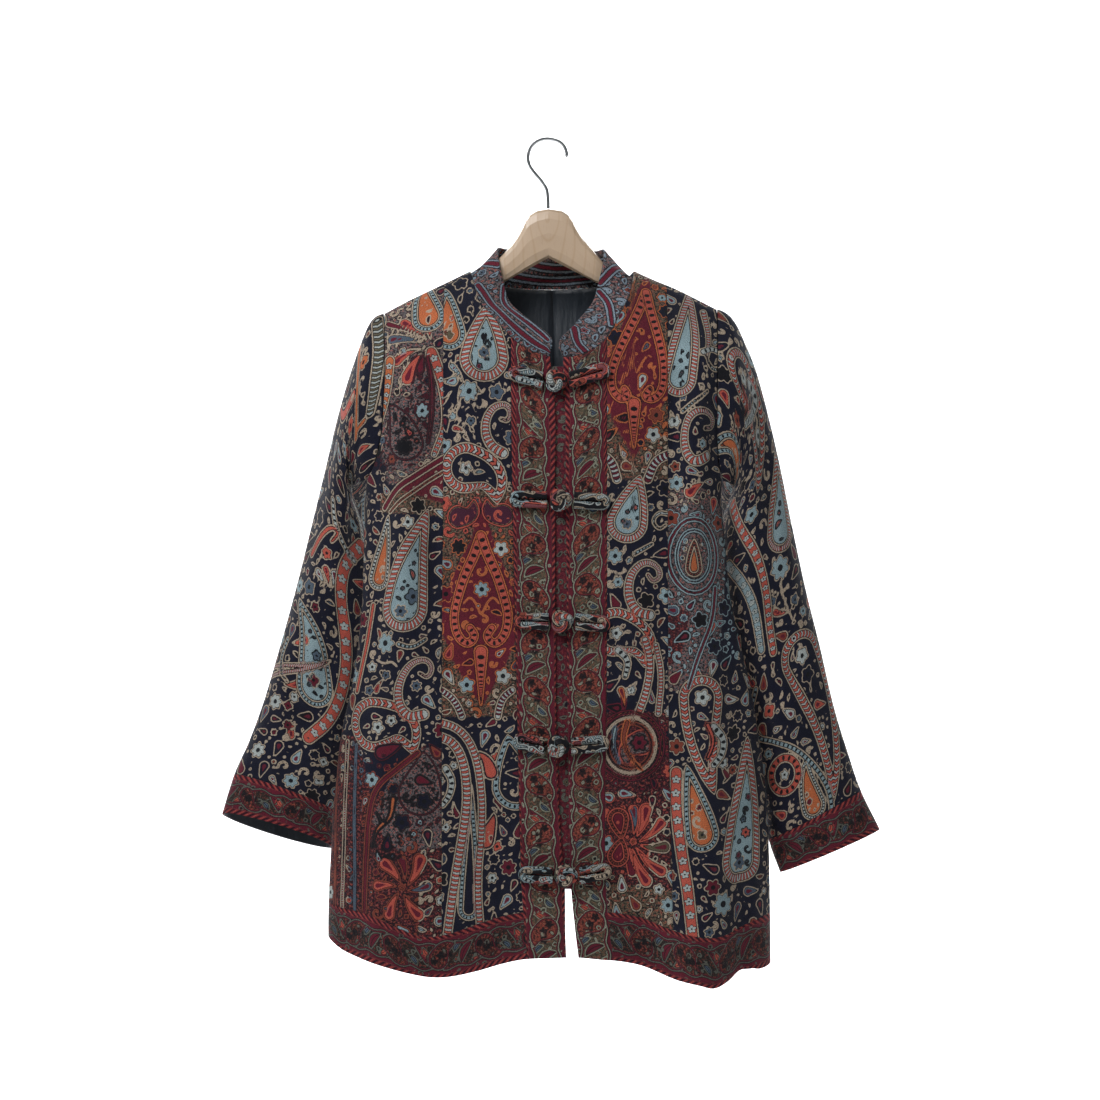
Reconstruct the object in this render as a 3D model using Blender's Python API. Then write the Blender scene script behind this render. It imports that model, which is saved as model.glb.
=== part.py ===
"""Mandarin collar jacket on a wooden hanger, built as separate sewn pieces.

The origin is the inner top of the hook's crown, where a rod would carry it.
+X is the viewer's right, +Y points away from the viewer and +Z is up.
Tables are in millimetres. "Drop" is the distance below the origin.
"""
import math

import bmesh
import bpy
import numpy as np

for item in list(bpy.data.objects):
    bpy.data.objects.remove(item)

MM = 0.001
CLOTH = 2.0
LINING = 1.0
SEAM_GAP = 0.4
LAY_GAP = 0.5
COLLAR_GAP = 0.6
CURVE_STEPS = 600
SLOPE_STEP = 0.005
EDGE_RADIUS = 8.0
FOLD_FADE = 1.5
SIDE_OPENING_POWER = 1.25
FRONT_SIDE_REACH = 55.0
BACK_SIDE_REACH = 125.0
TOP_REACH = 78.0
UNDERARM_DROP = 376.0

# Whole body, one row for each level.
# drop, left edge x, right edge x, side seam y, front depth, back depth
BODY_SECTIONS = (
    (98.3, -214.5, 221.1, 0.0, 42.0, 42.0),
    (197.3, -214.5, 221.1, 0.0, 44.0, 43.0),
    (285.6, -211.9, 213.0, -6.0, 47.0, 52.0),
    (340.7, -204.9, 200.5, -14.0, 41.0, 60.0),
    (376.0, -197.8, 191.3, -22.0, 34.0, 68.0),
    (439.4, -199.8, 194.4, -26.0, 32.0, 74.0),
    (504.9, -201.8, 200.8, -28.0, 32.0, 77.0),
    (592.2, -211.7, 220.4, -28.0, 34.0, 80.0),
    (646.8, -223.7, 230.3, -27.0, 36.0, 82.0),
    (712.3, -231.4, 238.6, -26.0, 39.0, 85.0),
    (777.9, -235.9, 242.5, -25.0, 41.0, 88.0),
    (832.8, -238.7, 243.7, -23.0, 44.0, 90.0),
    (942.2, -238.3, 244.9, -22.0, 46.0, 92.0),
)

# Top of the shoulders from left to right.
# x, drop
SHOULDER_RIDGE = (
    (-221.1, 212.7),
    (-180.4, 191.2),
    (-150.7, 175.3),
    (-127.6, 164.3),
    (-104.5, 153.3),
    (-84.7, 143.4),
    (-57.2, 130.2),
    (-29.7, 118.1),
    (4.4, 110.4),
    (41.8, 118.1),
    (68.2, 130.2),
    (95.7, 143.4),
    (117.7, 153.3),
    (144.1, 164.3),
    (166.1, 175.3),
    (187.6, 186.3),
    (228.8, 209.4),
)

# Armhole seams. drop, left x, right x
ARMHOLES = (
    (175.3, -179.5, 186.6),
    (232.2, -176.6, 185.4),
    (286.9, -177.0, 184.7),
    (330.5, -180.8, 184.7),
    (357.6, -188.1, 187.1),
    (376.0, -197.8, 191.3),
)

NECK_LEFT_X = -84.7
NECK_RIGHT_X = 95.7

# Neck seam of the fronts. x, drop
FRONT_NECK = (
    (-84.7, 143.4),
    (-80.9, 156.1),
    (-77.4, 168.9),
    (-72.9, 179.4),
    (-60.2, 195.0),
    (-41.2, 217.0),
    (-22.7, 231.3),
    (-3.2, 238.9),
    (14.1, 241.1),
    (34.7, 238.9),
    (47.8, 233.4),
    (59.7, 225.8),
    (69.5, 213.8),
    (80.4, 191.8),
    (87.1, 179.4),
    (91.7, 167.7),
    (95.7, 143.4),
)

# Neck seam of the back. x, drop
BACK_NECK = (
    (-84.7, 143.4),
    (-78.4, 148.4),
    (-68.7, 152.9),
    (-52.2, 157.1),
    (-24.5, 159.9),
    (4.4, 160.9),
    (33.3, 159.9),
    (62.2, 157.1),
    (79.7, 152.9),
    (89.4, 148.4),
    (95.7, 143.4),
)

# Long seams of the fronts.
# drop, left princess seam, left band outer, left band inner,
# right band inner, right band outer, right princess seam
FRONT_SEAMS = (
    (125.0, -112.8, -40.1, 1.1, 16.3, 65.1, 131.3),
    (241.1, -112.7, -39.0, 3.3, 17.4, 65.1, 131.2),
    (271.5, -112.7, -39.0, 7.1, 19.0, 65.1, 131.2),
    (396.2, -112.7, -37.3, 8.7, 20.6, 65.0, 131.2),
    (526.0, -113.7, -34.5, 9.2, 21.7, 64.9, 131.1),
    (666.3, -113.5, -31.3, 10.9, 22.7, 63.8, 132.0),
    (763.3, -113.3, -29.1, 15.2, 24.3, 62.7, 133.9),
    (816.1, -113.2, -27.4, 19.5, 26.0, 63.7, 134.9),
    (854.8, -113.1, -24.7, 19.8, 29.7, 66.9, 135.8),
    (908.5, -113.1, -19.3, 21.6, 36.2, 74.4, 136.7),
)

# Free edge of the fronts. x, drop
FRONT_HEM = (
    (-245.9, 865.7),
    (-238.1, 873.1),
    (-224.0, 883.1),
    (-208.9, 889.3),
    (-190.0, 895.2),
    (-156.2, 903.9),
    (-115.0, 910.6),
    (-73.2, 904.1),
    (-50.7, 897.7),
    (-29.1, 892.7),
    (3.3, 890.8),
    (35.6, 890.3),
    (57.2, 892.4),
    (76.6, 894.0),
    (100.3, 898.7),
    (140.9, 913.6),
    (164.3, 918.4),
    (179.4, 921.6),
    (196.1, 914.6),
    (207.8, 905.7),
    (220.0, 903.8),
    (231.0, 905.2),
    (244.7, 900.4),
    (252.5, 893.0),
)

# Upper seam of the hem border on the fronts. x, drop
FRONT_BORDER = (
    (-245.9, 830.7),
    (-237.0, 834.8),
    (-190.1, 844.7),
    (-158.4, 857.8),
    (-132.3, 866.3),
    (-115.1, 865.7),
    (-73.3, 853.7),
    (-50.7, 846.5),
    (-25.8, 841.5),
    (3.3, 840.9),
    (35.7, 840.9),
    (66.9, 841.3),
    (100.3, 847.1),
    (132.4, 859.1),
    (161.2, 866.0),
    (187.2, 866.5),
    (214.5, 856.4),
    (242.5, 845.8),
    (252.5, 841.6),
)

# Free edge of the back and the height of its border. x, drop
BACK_HEM = (
    (-245.9, 865.7),
    (-238.1, 873.1),
    (-195.3, 893.0),
    (-119.8, 903.4),
    (-52.7, 898.6),
    (4.4, 898.8),
    (59.4, 901.1),
    (126.5, 909.5),
    (186.3, 913.3),
    (244.7, 900.4),
    (252.5, 893.0),
)
BORDER_HEIGHT = 46.0

# Centre back seam, parted below into a vent.
# drop, edge of the left half, edge of the right half
CENTRE_BACK = (
    (105.4, 4.4, 4.4),
    (394.6, 10.0, 10.0),
    (617.8, 17.8, 17.8),
    (786.0, 23.4, 23.4),
    (799.4, 22.3, 25.1),
    (819.7, 17.9, 30.7),
    (909.8, 13.4, 43.6),
)

# Soft folds. x and drop at the top, x and drop at the bottom, half width, height
FRONT_FOLDS = (
    (-114.9, 211.8, -114.7, 656.0, 17.0, -8.0),
    (131.2, 200.9, 132.1, 634.4, 17.0, -8.0),
    (-156.1, 287.7, -161.3, 601.9, 20.0, 6.0),
    (162.7, 190.1, 164.6, 504.4, 18.0, 6.0),
    (176.5, 526.1, 169.8, 828.7, 20.0, 6.0),
    (-72.5, 461.1, -50.7, 990.1, 22.0, -5.0),
    (-159.1, 601.9, -132.7, 1119.6, 40.0, 14.0),
    (165.5, 655.7, 167.2, 1107.9, 30.0, 18.0),
    (211.5, 721.4, 213.7, 1068.3, 15.0, -10.0),
    (100.6, 612.5, 100.5, 1044.1, 22.0, -5.0),
    (-203.3, 613.4, -212.0, 1070.1, 16.0, -5.0),
    (-83.4, 179.2, -137.7, 320.2, 14.0, -3.0),
    (94.4, 179.2, 148.6, 309.3, 14.0, -3.0),
)
BACK_FOLDS = (
    (-130.2, 238.9, -136.4, 796.7, 22.0, -8.0),
    (139.0, 227.8, 154.1, 796.7, 22.0, -8.0),
    (-52.5, 461.5, -75.0, 1121.6, 30.0, 12.0),
    (81.4, 506.1, 109.6, 1121.6, 30.0, 13.0),
    (-168.7, 528.0, -180.3, 1084.5, 24.0, 8.0),
    (186.4, 550.1, 194.7, 1084.5, 24.0, 8.0),
    (4.4, 205.2, 10.0, 528.4, 40.0, -5.0),
    (-7.9, 617.7, -19.1, 1121.6, 16.0, -7.0),
    (55.7, 640.0, 62.6, 1121.6, 16.0, -7.0),
)

# Sleeves, one row for each ring from the armhole to the cuff.
# outer x, outer drop, inner x, inner drop, centre y, half depth,
# lift of the front edge, tuck of the back half behind the body
LEFT_SLEEVE = (
    (-180.4, 190.7, -197.8, 376.0, 2.0, 40.0, 0.0, 0.0),
    (-195.9, 201.6, -209.0, 376.6, 0.0, 42.0, 0.0, 12.0),
    (-205.5, 225.5, -213.8, 379.8, 1.0, 42.0, 0.0, 20.0),
    (-218.0, 260.5, -215.2, 385.2, 5.0, 42.0, 0.0, 26.0),
    (-231.5, 306.6, -211.1, 399.5, 10.0, 42.0, 0.0, 24.0),
    (-245.1, 361.8, -201.4, 428.2, 16.0, 41.0, 0.0, 14.0),
    (-259.4, 419.3, -194.7, 470.2, 20.0, 40.0, 1.0, 6.0),
    (-277.7, 492.3, -199.2, 537.7, 22.0, 39.0, 2.0, 5.0),
    (-295.2, 556.4, -207.9, 607.3, 20.0, 37.0, 3.0, 4.0),
    (-312.6, 616.0, -217.6, 664.6, 17.0, 34.0, 4.0, 3.0),
    (-328.7, 661.0, -226.2, 706.2, 13.0, 31.0, 6.0, 2.0),
    (-344.9, 698.2, -234.2, 737.9, 8.0, 27.0, 8.0, 0.0),
    (-357.9, 741.0, -235.7, 777.4, 5.0, 25.0, 9.0, 0.0),
)
RIGHT_SLEEVE = (
    (187.6, 186.3, 191.3, 376.0, 2.0, 40.0, 0.0, 0.0),
    (206.9, 200.5, 201.3, 377.7, 0.0, 42.0, 0.0, 12.0),
    (218.2, 223.3, 204.9, 382.0, 4.0, 43.0, 0.0, 18.0),
    (230.1, 251.6, 204.2, 387.4, 9.0, 43.0, 0.0, 22.0),
    (243.6, 298.9, 200.0, 398.4, 14.0, 42.0, 0.0, 20.0),
    (257.2, 355.2, 193.0, 423.7, 19.0, 41.0, 0.0, 12.0),
    (269.9, 417.1, 191.4, 468.0, 22.0, 40.0, 0.0, 6.0),
    (286.0, 492.3, 201.3, 541.0, 22.0, 39.0, 0.0, 5.0),
    (301.8, 556.4, 216.7, 610.6, 20.0, 37.0, 0.0, 4.0),
    (316.9, 622.6, 228.6, 671.2, 17.0, 34.0, 0.0, 3.0),
    (332.0, 673.1, 238.3, 723.9, 13.0, 31.0, 0.0, 2.0),
    (346.0, 714.8, 244.1, 768.7, 8.0, 27.0, 0.0, 0.0),
    (366.7, 757.6, 256.6, 804.9, 5.0, 25.0, 0.0, 0.0),
)

# Sleeve folds. ring, angle in degrees, angle gained for each ring,
# half length in rings, half width in degrees, height
LEFT_SLEEVE_FOLDS = (
    (5.5, 70.0, -6.0, 2.2, 22.0, 5.0),
    (5.0, 118.0, 4.0, 2.4, 20.0, -4.0),
    (8.6, 95.0, -10.0, 1.6, 24.0, -4.0),
    (6.0, 250.0, 6.0, 2.6, 24.0, -5.0),
    (8.5, 290.0, 8.0, 2.2, 22.0, 4.0),
)
RIGHT_SLEEVE_FOLDS = (
    (4.2, 60.0, 6.0, 1.8, 20.0, -5.0),
    (5.6, 92.0, 4.0, 2.0, 22.0, 5.0),
    (7.6, 70.0, -14.0, 2.2, 20.0, -5.0),
    (6.0, 255.0, -6.0, 2.6, 24.0, -5.0),
    (8.5, 285.0, 8.0, 2.2, 22.0, 4.0),
)
ARMHOLE_BLEND = 2.2
SLEEVE_SHIFT = 0.6
UNDERARM_CLOTH = 1.0
UNDERARM_FADE = 6.0

# Upper edge of the collar from its left front end round the back to its right front end.
# share of the neck seam, x, drop, y
COLLAR_TOP = (
    (0.00, 3.8, 229.1, -50.0),
    (0.012, 4.9, 222.5, -49.0),
    (0.035, 2.2, 216.9, -46.5),
    (0.075, -10.8, 205.6, -40.0),
    (0.130, -29.4, 190.7, -31.0),
    (0.185, -41.5, 177.0, -22.0),
    (0.230, -47.0, 159.2, -18.0),
    (0.270, -52.6, 134.6, -12.0),
    (0.300, -55.0, 119.6, 2.0),
    (0.350, -45.4, 116.9, 24.0),
    (0.420, -23.4, 118.2, 35.0),
    (0.500, 4.4, 119.0, 38.0),
    (0.580, 32.2, 119.3, 35.0),
    (0.650, 54.2, 119.1, 24.0),
    (0.700, 63.8, 121.2, 2.0),
    (0.730, 61.4, 135.7, -12.0),
    (0.770, 55.8, 159.2, -18.0),
    (0.815, 50.3, 178.1, -22.0),
    (0.870, 36.0, 197.3, -31.0),
    (0.925, 22.9, 212.2, -40.0),
    (0.965, 15.8, 219.1, -46.5),
    (0.988, 13.6, 224.7, -49.0),
    (1.00, 14.1, 231.3, -50.0),
)

# Frog fastenings. knot x, knot drop, left end x, left end drop, right end x, right end drop
FROGS = (
    (9.8, 267.1, -34.5, 260.1, 60.6, 256.9),
    (14.6, 396.5, -32.3, 395.3, 60.5, 398.5),
    (16.2, 527.7, -28.0, 526.8, 60.4, 530.1),
    (11.9, 661.9, -27.9, 657.2, 59.3, 659.3),
    (20.5, 801.4, -22.5, 800.0, 61.4, 796.8),
)
CORD_RADIUS = 4.3
CORD_SPREAD = 4.9
KNOT_HALF_WIDTH = 13.0
KNOT_HALF_HEIGHT = 13.0
KNOT_HALF_DEPTH = 9.0
KNOT_LOBES = 3
KNOT_BULGE = 0.09
KNOT_TWIST = 2.4
CORD_START_SHARE = 0.35
CORD_BEND_SHARE = 0.2

# Wooden hanger, one row for each section from the left tip to the right tip.
# x, upper drop, lower drop, half thickness
HANGER_SECTIONS = (
    (-174.9, 196.2, 203.9, 4.0),
    (-172.7, 194.7, 206.7, 6.0),
    (-161.7, 188.1, 207.2, 7.6),
    (-139.7, 176.6, 199.5, 8.0),
    (-112.2, 164.8, 188.5, 7.0),
    (-84.7, 154.0, 176.4, 4.4),
    (-62.7, 140.6, 164.3, 4.4),
    (-47.3, 124.0, 155.6, 7.0),
    (-38.5, 114.8, 150.9, 7.0),
    (-32.5, 106.6, 147.6, 7.0),
    (-26.4, 95.0, 144.3, 7.0),
    (-23.1, 87.3, 142.5, 7.0),
    (-19.2, 82.3, 140.4, 7.0),
    (-11.0, 77.4, 135.9, 7.0),
    (1.6, 75.2, 129.1, 7.0),
    (16.5, 77.4, 136.8, 7.0),
    (24.2, 82.3, 140.8, 7.0),
    (28.1, 87.3, 142.8, 7.0),
    (31.4, 95.0, 144.5, 7.0),
    (38.5, 106.6, 148.2, 7.0),
    (46.2, 115.3, 152.2, 7.0),
    (53.9, 124.5, 156.2, 6.6),
    (62.1, 134.6, 158.8, 5.0),
    (72.6, 143.4, 164.3, 4.4),
    (95.7, 154.0, 176.4, 4.4),
    (122.1, 163.8, 186.3, 7.0),
    (149.6, 174.2, 196.2, 8.0),
    (170.5, 185.8, 203.9, 7.6),
    (180.4, 190.7, 202.8, 6.0),
    (182.6, 192.3, 200.6, 4.0),
)

# Centre line of the hook wire from its free tip to the wood. x, drop
HOOK_PATH = (
    (21.5, 18.5),
    (21.5, 12.5),
    (18.2, 5.3),
    (12.1, 0.6),
    (0.2, -2.0),
    (-9.9, 0.4),
    (-17.6, 7.0),
    (-20.9, 16.9),
    (-19.2, 26.8),
    (-13.2, 36.1),
    (-5.5, 44.9),
    (-0.3, 53.8),
    (1.1, 63.1),
    (1.4, 74.8),
)
HOOK_RADIUS = 2.0
HOOK_STEPS = 34
HOOK_TIP_SHARE = 0.6
HANGER_SQUARENESS = 0.75

CLOTH_COLOURS = {
    "navy": (0.035, 0.04, 0.085, 1.0),
    "maroon": (0.22, 0.035, 0.05, 1.0),
    "border": (0.19, 0.06, 0.06, 1.0),
    "collar": (0.16, 0.10, 0.13, 1.0),
    "cord": (0.10, 0.08, 0.10, 1.0),
    "lining": (0.02, 0.025, 0.035, 1.0),
    "wood": (0.62, 0.44, 0.30, 1.0),
    "steel": (0.75, 0.75, 0.77, 1.0),
}
CLOTH_ROUGHNESS = 0.85
ROUGHNESS = {"lining": 0.35, "wood": 0.5, "steel": 0.25}


def read_column(rows, column):
    """Dense soft curve through one column of a table, keyed by its first column."""
    keys = np.array([row[0] for row in rows], dtype=float)
    values = np.array([row[column] for row in rows], dtype=float)
    slopes = np.gradient(values, keys)
    places = np.linspace(keys[0], keys[-1], CURVE_STEPS)
    index = np.clip(np.searchsorted(keys, places, side="right") - 1, 0, len(keys) - 2)
    span = keys[index + 1] - keys[index]
    part = (places - keys[index]) / span
    first = (1 + 2 * part) * (1 - part) ** 2 * values[index]
    last = part ** 2 * (3 - 2 * part) * values[index + 1]
    leave = part * (1 - part) ** 2 * span * slopes[index]
    arrive = part ** 2 * (part - 1) * span * slopes[index + 1]
    return places, first + last + leave + arrive


def look_up(curve, at):
    return np.interp(at, curve[0], curve[1])


LEFT_EDGE = read_column(BODY_SECTIONS, 1)
RIGHT_EDGE = read_column(BODY_SECTIONS, 2)
SIDE_Y = read_column(BODY_SECTIONS, 3)
FRONT_DEPTH = read_column(BODY_SECTIONS, 4)
BACK_DEPTH = read_column(BODY_SECTIONS, 5)
RIDGE = read_column(SHOULDER_RIDGE, 1)
LEFT_ARMHOLE = read_column(ARMHOLES, 1)
RIGHT_ARMHOLE = read_column(ARMHOLES, 2)
FRONT_NECK_CURVE = read_column(FRONT_NECK, 1)
BACK_NECK_CURVE = read_column(BACK_NECK, 1)
SEAM_CURVES = [read_column(FRONT_SEAMS, column) for column in range(1, 7)]
FRONT_HEM_CURVE = read_column(FRONT_HEM, 1)
FRONT_BORDER_CURVE = read_column(FRONT_BORDER, 1)
BACK_HEM_CURVE = read_column(BACK_HEM, 1)


def rounded(distance, reach):
    part = np.clip(distance / reach, 0.0, 1.0)
    return np.sqrt(1.0 - (1.0 - part) ** 2)


def opened(distance, reach, power):
    part = np.clip(distance / reach, 0.0, 1.0)
    return np.sin(part * math.pi / 2) ** power


def fold_height(folds, x, drop):
    """Sum of soft ridges and troughs, each fading in and out along its length."""
    total = np.zeros_like(x)
    for top_x, top_drop, low_x, low_drop, half_width, height in folds:
        along = np.clip((drop - top_drop) / (low_drop - top_drop), 0.0, 1.0)
        middle = top_x + (low_x - top_x) * along
        across = (x - middle) / half_width
        total += height * np.sin(along * math.pi) ** FOLD_FADE * np.exp(-across ** 2)
    return total


def body_y(x, drop, front):
    """Depth of the body's outer face at a place on the front or the back."""
    inset = np.minimum(x - look_up(LEFT_EDGE, drop), look_up(RIGHT_EDGE, drop) - x)
    below = drop - look_up(RIDGE, x)
    tip = rounded(inset, EDGE_RADIUS) * rounded(below, EDGE_RADIUS)
    reach = FRONT_SIDE_REACH if front else BACK_SIDE_REACH
    power = 1.0 if front else SIDE_OPENING_POWER
    spread = opened(inset, reach, power) * opened(below, TOP_REACH, 1.0)
    depth = look_up(FRONT_DEPTH if front else BACK_DEPTH, drop)
    folds = fold_height(FRONT_FOLDS if front else BACK_FOLDS, x, drop)
    out = EDGE_RADIUS * tip + (depth - EDGE_RADIUS + folds) * spread + SEAM_GAP / 2
    middle = look_up(SIDE_Y, drop)
    return middle - out if front else middle + out


def body_points(x, drop, front):
    return np.stack([x, body_y(x, drop, front), -drop], axis=-1)


def body_normals(x, drop, front):
    """Outward direction of the body's outer face."""
    step = SLOPE_STEP
    slope_x = (body_y(x + step, drop, front) - body_y(x - step, drop, front)) / (2 * step)
    slope_drop = (body_y(x, drop + step, front) - body_y(x, drop - step, front)) / (2 * step)
    outward = np.stack([slope_x, -np.ones_like(x), -slope_drop], axis=-1)
    if not front:
        outward = -outward
    return outward / np.linalg.norm(outward, axis=-1, keepdims=True)


def front_top(x):
    inside = (x > NECK_LEFT_X) & (x < NECK_RIGHT_X)
    return np.where(inside, look_up(FRONT_NECK_CURVE, x), look_up(RIDGE, x))


def back_top(x):
    inside = (x > NECK_LEFT_X) & (x < NECK_RIGHT_X)
    return np.where(inside, look_up(BACK_NECK_CURVE, x), look_up(RIDGE, x))


def left_side(drop):
    return np.where(drop < UNDERARM_DROP, look_up(LEFT_ARMHOLE, drop), look_up(LEFT_EDGE, drop))


def right_side(drop):
    return np.where(drop < UNDERARM_DROP, look_up(RIGHT_ARMHOLE, drop), look_up(RIGHT_EDGE, drop))


def seam_line(number, shift):
    """One long seam of the fronts, moved sideways by half a seam gap."""
    return lambda drop: look_up(SEAM_CURVES[number], drop) + shift * SEAM_GAP / 2


def vent_line(column, shift):
    keys = [row[0] for row in CENTRE_BACK]
    values = [row[column] for row in CENTRE_BACK]
    return lambda drop: np.interp(drop, keys, values) + shift * SEAM_GAP / 2


def above_border(x):
    return look_up(FRONT_BORDER_CURVE, x) - SEAM_GAP / 2


def below_border(x):
    return look_up(FRONT_BORDER_CURVE, x) + SEAM_GAP / 2


def front_hem(x):
    return look_up(FRONT_HEM_CURVE, x)


def back_hem(x):
    return look_up(BACK_HEM_CURVE, x)


def above_back_border(x):
    return back_hem(x) - BORDER_HEIGHT - SEAM_GAP / 2


def below_back_border(x):
    return back_hem(x) - BORDER_HEIGHT + SEAM_GAP / 2


def lay_grid(columns, rows, left, right, top, bottom):
    """Places of a panel's grid between its four boundary lines."""
    across, down = np.meshgrid(np.array(columns), np.array(rows))
    drop = 200.0 + 700.0 * down
    for _ in range(12):
        x = left(drop) * (1 - across) + right(drop) * across
        drop = top(x) * (1 - down) + bottom(x) * down
    x = left(drop) * (1 - across) + right(drop) * across
    return x, drop


def soft_start(count):
    """Shares from 0 to 1 that lie closely together near 0."""
    return [1 - math.cos(step / count * math.pi / 2) for step in range(count + 1)]


def soft_end(count):
    return [1 - share for share in reversed(soft_start(count))]


def even(count):
    return [step / count for step in range(count + 1)]


ARMHOLE_ROWS = 8
LOWER_ROWS = 8


def panel_rows(side, top, bottom):
    """Row shares with a row exactly at the underarm on the panel's outer side."""
    underarm_x = side(np.array(UNDERARM_DROP))
    start = float(top(underarm_x))
    share = (UNDERARM_DROP - start) / (float(bottom(underarm_x)) - start)
    upper = [share * (1 - math.cos(math.pi * k / ARMHOLE_ROWS)) / 2 for k in range(ARMHOLE_ROWS + 1)]
    lower = [share + (1 - share) * k / LOWER_ROWS for k in range(1, LOWER_ROWS + 1)]
    return upper + lower


def make_material(name, colour, roughness, metallic):
    material = bpy.data.materials.new(name)
    material.use_nodes = True
    shader = material.node_tree.nodes["Principled BSDF"]
    shader.inputs["Base Color"].default_value = colour
    shader.inputs["Roughness"].default_value = roughness
    shader.inputs["Metallic"].default_value = metallic
    return material


MATERIALS = {
    name: make_material(
        name,
        colour,
        ROUGHNESS.get(name, CLOTH_ROUGHNESS),
        1.0 if name == "steel" else 0.0,
    )
    for name, colour in CLOTH_COLOURS.items()
}


def add_solid(name, points, faces, material):
    """One closed named body from points in millimetres."""
    mesh = bpy.data.meshes.new(name)
    mesh.from_pydata([tuple(point) for point in np.asarray(points) * MM], [], faces)
    mesh.materials.append(MATERIALS[material])
    shape = bmesh.new()
    shape.from_mesh(mesh)
    bmesh.ops.recalc_face_normals(shape, faces=shape.faces)
    for face in shape.faces:
        face.smooth = True
    shape.to_mesh(mesh)
    shape.free()
    solid = bpy.data.objects.new(name, mesh)
    bpy.context.collection.objects.link(solid)
    return solid


def add_wall(name, outer, inner, material, wrap=False):
    """Closed wall between an outer and an inner grid of the same size."""
    rows, columns = outer.shape[:2]
    points = np.concatenate([outer.reshape(-1, 3), inner.reshape(-1, 3)])
    offset = rows * columns
    faces = []
    last = columns if wrap else columns - 1
    for row in range(rows - 1):
        for column in range(last):
            after = (column + 1) % columns
            a = row * columns + column
            b = row * columns + after
            c = (row + 1) * columns + after
            d = (row + 1) * columns + column
            faces.append((a, d, c, b))
            faces.append((a + offset, b + offset, c + offset, d + offset))
    for column in range(last):
        after = (column + 1) % columns
        faces.append((column, after, after + offset, column + offset))
        a = (rows - 1) * columns + column
        b = (rows - 1) * columns + after
        faces.append((b, a, a + offset, b + offset))
    if not wrap:
        for row in range(rows - 1):
            a = row * columns
            b = (row + 1) * columns
            faces.append((b, a, a + offset, b + offset))
            a = row * columns + columns - 1
            b = (row + 1) * columns + columns - 1
            faces.append((a, b, b + offset, a + offset))
    return add_solid(name, points, faces, material)


def grid_normals(points, wrap=False):
    """Unit directions square to a grid of points."""
    if wrap:
        padded = np.concatenate([points[:, -1:], points, points[:, :1]], axis=1)
        across = (padded[:, 2:] - padded[:, :-2])
    else:
        across = np.gradient(points, axis=1)
    down = np.gradient(points, axis=0)
    normals = np.cross(across, down)
    return normals / np.linalg.norm(normals, axis=-1, keepdims=True)


def add_panel(name, columns, rows, lines, front, material, depth=0.0, thickness=CLOTH):
    """Cloth panel on the body's form, moved inward by depth."""
    x, drop = lay_grid(columns, rows, *lines)
    points = body_points(x, drop, front)
    normals = body_normals(x, drop, front)
    outer = points - normals * depth
    add_wall(name, outer, outer - normals * thickness, material)
    return points, normals


def ring_normals(points):
    """Outward directions within each ring's own plane."""
    centres = points.mean(axis=1)
    axes = np.gradient(centres, axis=0)
    across = np.roll(points, -1, axis=1) - np.roll(points, 1, axis=1)
    normals = np.cross(across, axes[:, None, :])
    normals = normals / np.linalg.norm(normals, axis=-1, keepdims=True)
    return normals * np.sign(np.sum(normals * (points - centres[:, None, :]), axis=-1).sum())


def sleeve_ring(table, folds, stations, angles, armhole, inward):
    """Points of a sleeve at ring stations, blended out of the armhole seam."""
    keys = np.arange(len(table), dtype=float)
    keyed = [(key,) + tuple(row) for key, row in zip(keys, table)]
    columns = [look_up(read_column(keyed, column), stations)[:, None] for column in range(1, 9)]
    outer_x, outer_drop, inner_x, inner_drop, middle_y, half_depth, tilt, tuck = columns
    lean = np.cos(angles)[None, :]
    swing = np.sin(angles)[None, :]
    x = (outer_x + inner_x) / 2 + (outer_x - inner_x) / 2 * lean
    drop = (outer_drop + inner_drop) / 2 + (outer_drop - inner_drop) / 2 * lean - tilt * swing
    y = middle_y - half_depth * swing
    x = x + inward * tuck * np.maximum(-swing, 0.0)
    points = np.stack([x, y, -drop], axis=-1)
    blend = np.clip(stations / ARMHOLE_BLEND, 0.0, 1.0)
    blend = (blend * blend * (3 - 2 * blend))[:, None, None]
    blend = np.concatenate([np.sqrt(blend), blend ** 1.8, blend], axis=-1)
    points = armhole[None] * (1 - blend) + points * blend
    normals = ring_normals(points)
    lift = np.zeros(points.shape[:2])
    degrees = np.degrees(angles)[None, :]
    for ring, angle, turn, half_length, half_width, height in folds:
        along = (stations[:, None] - ring) / half_length
        off = (degrees - angle - turn * (stations[:, None] - ring) + 180.0) % 360.0 - 180.0
        lift += height * np.exp(-along ** 2 - (off / half_width) ** 2)
    lift *= np.clip(stations / 1.0, 0.0, 1.0)[:, None]
    points = points + normals * lift[..., None]
    return points, ring_normals(points)


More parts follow.
